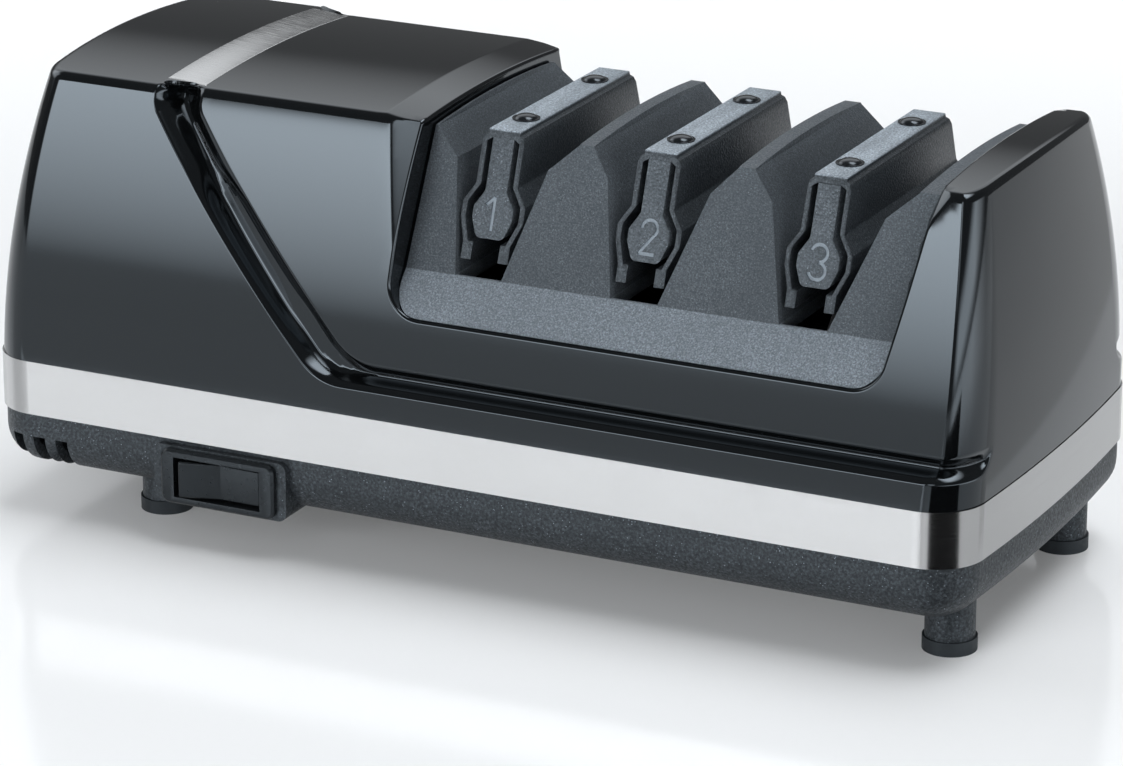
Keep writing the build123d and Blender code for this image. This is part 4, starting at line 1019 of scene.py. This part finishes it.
def meshPiece(name, points, normals, faces):
    mesh = bpy.data.meshes.new(name)
    mesh.from_pydata((points / 1000).tolist(), [], [tuple(int(i) for i in f) for f in faces])
    smoothed(mesh)
    mesh.normals_split_custom_set_from_vertices(normals.tolist())
    print(name, len(mesh.vertices), "points", len(mesh.polygons), "faces")
    return placedObject(name, mesh)


def dress(piece, body, slot, *replaced):
    # its finish, the body it rides on and the nodes it stands for
    piece.data.materials.clear()
    piece.data.materials.append(finishes[slot])
    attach(piece, body)
    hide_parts(*replaced)


dress(makeCover(), "housing", "gloss_black", "cover")
dress(makeStrip(stripShape), "housing", "silver_inlay", "roof_strip")
print("cover made")


# moulded pieces with softened edges; widths in millimetres
def softForm(name, slot, width, body="housing"):
    return {"name": name, "slot": slot, "body": body, "width": width}


stages = range(1, len(stageMiddles) + 1)
softened = {
    "guide_insert": softForm("guideTray", "insert_black", 0.5),
    **{f"stage_post_{stage}": softForm(f"stagePost{stage}", "post_black", 0.22) for stage in stages},
    **{f"knife_spring_{stage}": softForm(f"knifeSpring{stage}", "spring_black", 0.22) for stage in stages},
    "switch_housing": softForm("switchFrame", "switch_black", 0.6),
    "switch_rocker": softForm("switchRocker", "rocker_black", 0.4, "rocker"),
}


softening = {"merge": 2e-6, "flat": math.radians(0.8), "sharp": math.radians(32), "segments": 2}


def softEdges(node, form):
    # a copy of a moulded piece with its sharp edges rounded
    mesh = bpy.data.meshes.new(form["name"])
    sheet = bmesh.new()
    sheet.from_mesh(nodes[node].data)
    bmesh.ops.remove_doubles(sheet, verts=sheet.verts, dist=softening["merge"])
    bmesh.ops.dissolve_limit(sheet, angle_limit=softening["flat"], verts=sheet.verts, edges=sheet.edges)
    sheet.to_mesh(mesh)
    sheet.free()
    smoothed(mesh)
    raw = placedObject(form["name"] + "Raw", mesh)
    rounding = raw.modifiers.new("rounding", "BEVEL")
    rounding.width = form["width"] / 1000
    rounding.segments = softening["segments"]
    rounding.limit_method = "ANGLE"
    rounding.angle_limit = softening["sharp"]
    rounding.use_clamp_overlap = True
    rounding.harden_normals = True
    dress(plain(raw, form["name"]), form["body"], form["slot"], node)


def plain(raw, name):
    # the evaluated object as a plain mesh of its own
    graph = bpy.context.evaluated_depsgraph_get()
    mesh = bpy.data.meshes.new_from_object(raw.evaluated_get(graph), depsgraph=graph)
    mesh.name = name
    bpy.data.objects.remove(raw)
    print(name, len(mesh.vertices), "points", len(mesh.polygons), "faces")
    return placedObject(name, mesh)


for node, form in softened.items():
    softEdges(node, form)
print("edges softened")


def treeNode(tree, kind, settings=(), inputs=()):
    made = tree.nodes.new(kind)
    for key, value in dict(settings).items():
        setattr(made, key, value)
    for key, value in dict(inputs).items():
        if isinstance(value, bpy.types.NodeSocket):
            tree.links.new(value, made.inputs[key])
        else:
            made.inputs[key].default_value = value
    return made


def startTree(name, labels):
    # a tree that takes points and some numbers, the identifiers of the numbers, and its start
    tree = bpy.data.node_groups.new(name, "GeometryNodeTree")
    tree.interface.new_socket("Geometry", in_out="INPUT", socket_type="NodeSocketGeometry")
    inputs = {}
    for label in labels:
        number = tree.interface.new_socket(label, in_out="INPUT", socket_type="NodeSocketFloat")
        inputs[label] = number.identifier
    tree.interface.new_socket("Geometry", in_out="OUTPUT", socket_type="NodeSocketGeometry")
    return tree, inputs, tree.nodes.new("NodeGroupInput").outputs


def endTree(tree, geometry, slot):
    real = treeNode(tree, "GeometryNodeRealizeInstances", {}, {"Geometry": geometry})
    paint = treeNode(tree, "GeometryNodeSetMaterial", {}, {
        "Geometry": real.outputs[0], "Material": finishes[slot]})
    tree.links.new(paint.outputs[0], tree.nodes.new("NodeGroupOutput").inputs[0])


def inMetres(lengths):
    return {label: length / 1000 for label, length in lengths.items()}


def grown(name, places, tree, inputs, values):
    # the plain mesh that a tree makes of some places, which are in millimetres
    mesh = bpy.data.meshes.new(name + "Places")
    mesh.from_pydata([[part / 1000 for part in place] for place in places], [], [])
    raw = placedObject(name + "Places", mesh)
    change = raw.modifiers.new(name, "NODES")
    change.node_group = tree
    for label, value in values.items():
        change[inputs[label]] = value
    return plain(raw, name)


# domed heads of the six screws on the knife springs; sizes in millimetres
screwForm = {
    "offset": 17.7, "seat": 102.0, "collar": 3.2, "collarHeight": 0.5, "rings": 12, "turns": 32,
    "lengths": {"Radius": 2.75, "Height": 1.15}, "merge": 0.01, "sharp": math.radians(40),
}


def screwTree(form):
    # a dome turned from a grid: rings across, turns round, then one on each point
    tree, inputs, start = startTree("domedScrews", form["lengths"])

    def maths(operation, first, second=0.0):
        return treeNode(tree, "ShaderNodeMath", {"operation": operation}, {0: first, 1: second}).outputs[0]

    grid = treeNode(tree, "GeometryNodeMeshGrid", {}, {
        "Size X": 1.0, "Size Y": 1.0, "Vertices X": form["rings"] + 1, "Vertices Y": form["turns"] + 1})
    spot = treeNode(tree, "GeometryNodeInputPosition").outputs[0]
    place = treeNode(tree, "ShaderNodeSeparateXYZ", {}, {0: spot}).outputs
    lean = maths("MULTIPLY", maths("ADD", place["X"], 0.5), math.pi / 2)
    turn = maths("MULTIPLY", maths("ADD", place["Y"], 0.5), 2 * math.pi)
    out = maths("MULTIPLY", maths("SINE", lean), start["Radius"])
    domed = treeNode(tree, "ShaderNodeCombineXYZ", {}, {
        0: maths("MULTIPLY", out, maths("COSINE", turn)), 1: maths("MULTIPLY", out, maths("SINE", turn)),
        2: maths("MULTIPLY", maths("COSINE", lean), start["Height"])})
    dome = treeNode(tree, "GeometryNodeSetPosition", {}, {
        "Geometry": grid.outputs["Mesh"], "Position": domed.outputs[0]})
    collar = treeNode(tree, "GeometryNodeMeshCylinder", {}, {
        "Vertices": form["turns"], "Radius": form["collar"] / 1000, "Depth": form["collarHeight"] / 1000})
    both = treeNode(tree, "GeometryNodeJoinGeometry", {}, {0: dome.outputs[0]})
    tree.links.new(collar.outputs["Mesh"], both.inputs[0])
    closed = treeNode(tree, "GeometryNodeMergeByDistance", {}, {
        "Geometry": both.outputs[0], "Distance": form["merge"] / 1000})
    many = treeNode(tree, "GeometryNodeInstanceOnPoints", {}, {
        "Points": start["Geometry"], "Instance": closed.outputs[0]})
    endTree(tree, many.outputs[0], "button_black")
    return tree, inputs


def makeScrews(form):
    places = [(x, y, form["seat"]) for x in stageMiddles for y in (-form["offset"], form["offset"])]
    piece = grown("domedScrews", places, *screwTree(form), inMetres(form["lengths"]))
    sheet = bmesh.new()
    sheet.from_mesh(piece.data)
    bmesh.ops.recalc_face_normals(sheet, faces=sheet.faces)
    sheet.to_mesh(piece.data)
    sheet.free()
    smoothed(piece.data)
    piece.data.set_sharp_from_angle(angle=form["sharp"])
    dress(piece, "housing", "button_black", *[f"spring_screws_{stage}" for stage in stages])


makeScrews(screwForm)
print("screws made")


# springs between the disks, in two halves for each stage; millimetres
coilForm = {
    "half": 3.55, "give": 1.0, "turns": 1.25, "steps": 40, "round": 12, "axis": 45.0,
    "lengths": {"Coil Radius": 5.5, "Wire Radius": 0.6, "Reach": 2.95},
}


def coilTree(form):
    # a round wire along a spiral, laid along x from its middle to one end
    tree, inputs, start = startTree("coilSpring", (*form["lengths"], "Middle", "Axis Height", "Flip"))
    path = treeNode(tree, "GeometryNodeCurveSpiral", {}, {
        "Resolution": form["steps"], "Rotations": form["turns"], "Height": start["Reach"],
        "Start Radius": start["Coil Radius"], "End Radius": start["Coil Radius"]})
    ring = treeNode(tree, "GeometryNodeCurvePrimitiveCircle", {"mode": "RADIUS"}, {
        "Resolution": form["round"], "Radius": start["Wire Radius"]})
    wire = treeNode(tree, "GeometryNodeCurveToMesh", {}, {
        "Curve": path.outputs[0], "Profile Curve": ring.outputs[0], "Fill Caps": True})
    turn = treeNode(tree, "ShaderNodeCombineXYZ", {}, {0: start["Flip"], 1: math.pi / 2})
    place = treeNode(tree, "ShaderNodeCombineXYZ", {}, {0: start["Middle"], 2: start["Axis Height"]})
    laid = treeNode(tree, "GeometryNodeTransform", {}, {
        "Geometry": wire.outputs[0], "Rotation": turn.outputs[0], "Translation": place.outputs[0]})
    endTree(tree, laid.outputs[0], "shaft_steel")
    return tree, inputs


def makeCoils(form):
    tree, inputs = coilTree(form)
    for stage, middle in zip(stages, stageMiddles):
        for side, flip in (("left", math.pi), ("right", 0.0)):
            values = inMetres({**form["lengths"], "Middle": middle, "Axis Height": form["axis"]})
            piece = grown(f"diskSpring{stage}{side.title()}", [], tree, inputs, {**values, "Flip": flip})
            smoothed(piece.data)
            dress(piece, "drive_line", "shaft_steel", f"disk_spring_{stage}")
            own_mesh(piece)


makeCoils(coilForm)
print("disk springs made")


# The studio's lamps are soft patches of its sky. Angles are in degrees: straight ahead of the front face
# is 0 and its right is positive. Each patch rises and falls between its four sides and four heights.
studio = {
    "sky": 0.15, "tint": (0.97, 1.0, 1.03, 1),
    "frontBox": {"sides": (-46, -41, -9, -6), "heights": (-1.6, 20.5, 29.2, 30.2), "level": 7.5,
                 "slant": 0.3, "curve": 0.6},
    "leftBox": {"sides": (-120, -105, -80, -70), "heights": (8, 20, 40, 50), "level": 2.2},
    "sideBox": {"sides": (-2, 2, 14, 20), "heights": (12, 30, 36, 44), "level": 3.4},
    "rightBox": {"sides": (22, 45, 100, 125), "heights": (-1, 3, 9, 15), "level": 3.4},
    "backGlow": {"sides": (-190, -189, -112, -95), "heights": (17, 28, 42, 55), "level": 1.1},
    "topBox": {"sides": (50, 80, 200, 215), "heights": (56, 68, 91, 92), "level": 6.5},
}
# the floor's glow is lower near the object than far from it, a painted shade there
floorForm = {"size": 6.0, "colour": 0.90, "rough": (0.10, 0.13), "glow": (0.10, 0.40), "reach": (0.25, 0.60)}
# cards on the floor, which only reflections see, darken what lies low in them
cards = {
    "shadeCard": {"level": 0.001, "glow": 0.0,
                  "corners": ((0.112, -0.050), (0.124, -0.048), (0.897, -0.255), (0.258, -0.735))},
    "dimCard": {"level": 0.42, "glow": 0.42,
                "corners": ((-0.36, -0.178), (0.085, -0.178), (-0.30, -3.0), (-5.0, -3.0))},
    "endCard": {"level": 0.42, "glow": 0.22,
                "corners": ((0.176, 0.0), (0.176, 0.35), (0.8, 3.0), (2.8, 3.0))},
}
cardLift, cardDrift = 0.0004, 1.1
eye = {"place": (0.483186, -0.977311, 0.414060), "aim": (0.00333, -0.00426, 0.03497), "lens": 158.9}


def makeFloor(form):
    half = form["size"] / 2
    mesh = bpy.data.meshes.new("floor")
    corners = [(-half, -half, 0), (half, -half, 0), (half, half, 0), (-half, half, 0)]
    mesh.from_pydata(corners, [], [(0, 1, 2, 3)])
    floor = placedObject("floor", mesh)
    paint = Paint("paleTable")
    seen = 0
    for ray in ("Is Camera Ray", "Is Glossy Ray", "Is Transmission Ray"):
        seen = paint.node("ShaderNodeLightPath", out=ray) + seen
    x, y = paint.axes("XY")
    # the floor's glow grows away from the object: painted shade on the floor near it
    far = paint.spread((x * x + y * y) ** 0.5, *form["glow"], *form["reach"])
    mesh.materials.append(paint.finish(
        Base_Color=grey(form["colour"]),
        Roughness=paint.spread(paint.noise(3, detail=2), *form["rough"]),
        IOR=1.6,
        Emission_Color=paint.blend(seen * far, grey(0), grey(1)),
        Emission_Strength=1.0,
    ))


def makeCard(name, form):
    mesh = bpy.data.meshes.new(name)
    mesh.from_pydata([(x, y, cardLift) for x, y in form["corners"]], [], [(0, 3, 2, 1)])
    card = placedObject(name, mesh)
    card.visible_camera = card.visible_diffuse = card.visible_shadow = False
    paint = Paint(name)
    cloud = paint.noise(5)

    def drifting(level):
        return paint.blend(cloud, grey(level), grey(level * cardDrift))

    top = paint.node("ShaderNodeBsdfPrincipled", {}, {
        "Base Color": drifting(form["level"]), "Roughness": 0.9, "IOR": 1.1,
        "Emission Color": drifting(form["glow"]), "Emission Strength": 1.0})
    below = paint.node("ShaderNodeNewGeometry", out="Backfacing")
    clear = paint.node("ShaderNodeBsdfTransparent")
    mixed = paint.node("ShaderNodeMixShader", {}, {0: below, 1: top, 2: clear})
    mesh.materials.append(paint.ending("ShaderNodeOutputMaterial", mixed))


def panelOfLight(sky, side, height, form):
    # a soft patch of the sky; its upper edge may slant, and its rise may be curved
    sides, heights = form["sides"], form["heights"]
    patch = sky.spread(side, 0, 1, sides[0], sides[1]) * sky.spread(side, 1, 0, sides[2], sides[3])
    top = height - side * form["slant"] if "slant" in form else height
    rise = sky.spread(height, 0, 1, heights[0], heights[1])
    if "curve" in form:
        rise = rise ** form["curve"]
    patch = patch * rise * sky.spread(top, 1, 0, heights[2], heights[3])
    return patch * form["level"]


def makeSky():
    sky = Paint("studioSky", bpy.data.worlds, "Generated")
    x, y, z = sky.axes()
    side = sky.maths("ARCTAN2", x, y * -1) * math.degrees(1)
    height = sky.maths("ARCSINE", z, 0) * math.degrees(1)
    light = panelOfLight(sky, side, height, studio["frontBox"]) + studio["sky"]
    for name in ("leftBox", "sideBox", "rightBox", "backGlow"):
        light = light + panelOfLight(sky, side, height, studio[name])
    turned = sky.maths("MODULO", side + 360, 360)  # this patch crosses the far side, where angles jump
    light = light + panelOfLight(sky, turned, height, studio["topBox"])
    back = sky.node("ShaderNodeBackground", {}, {"Color": studio["tint"], "Strength": light})
    bpy.context.scene.world = sky.ending("ShaderNodeOutputWorld", back)


def makeCamera(form):
    camera = bpy.data.cameras.new("camera")
    camera.lens = form["lens"]
    camera.sensor_width = 36
    camera.clip_start = 0.01
    seat = placedObject("camera", camera)
    seat.location = form["place"]
    seat.rotation_euler = (Vector(form["aim"]) - seat.location).to_track_quat("-Z", "Y").to_euler()
    bpy.context.scene.camera = seat


makeFloor(floorForm)
for name, form in cards.items():
    makeCard(name, form)
makeSky()
makeCamera(eye)
bpy.context.scene.view_settings.view_transform = "Standard"
print("studio made")
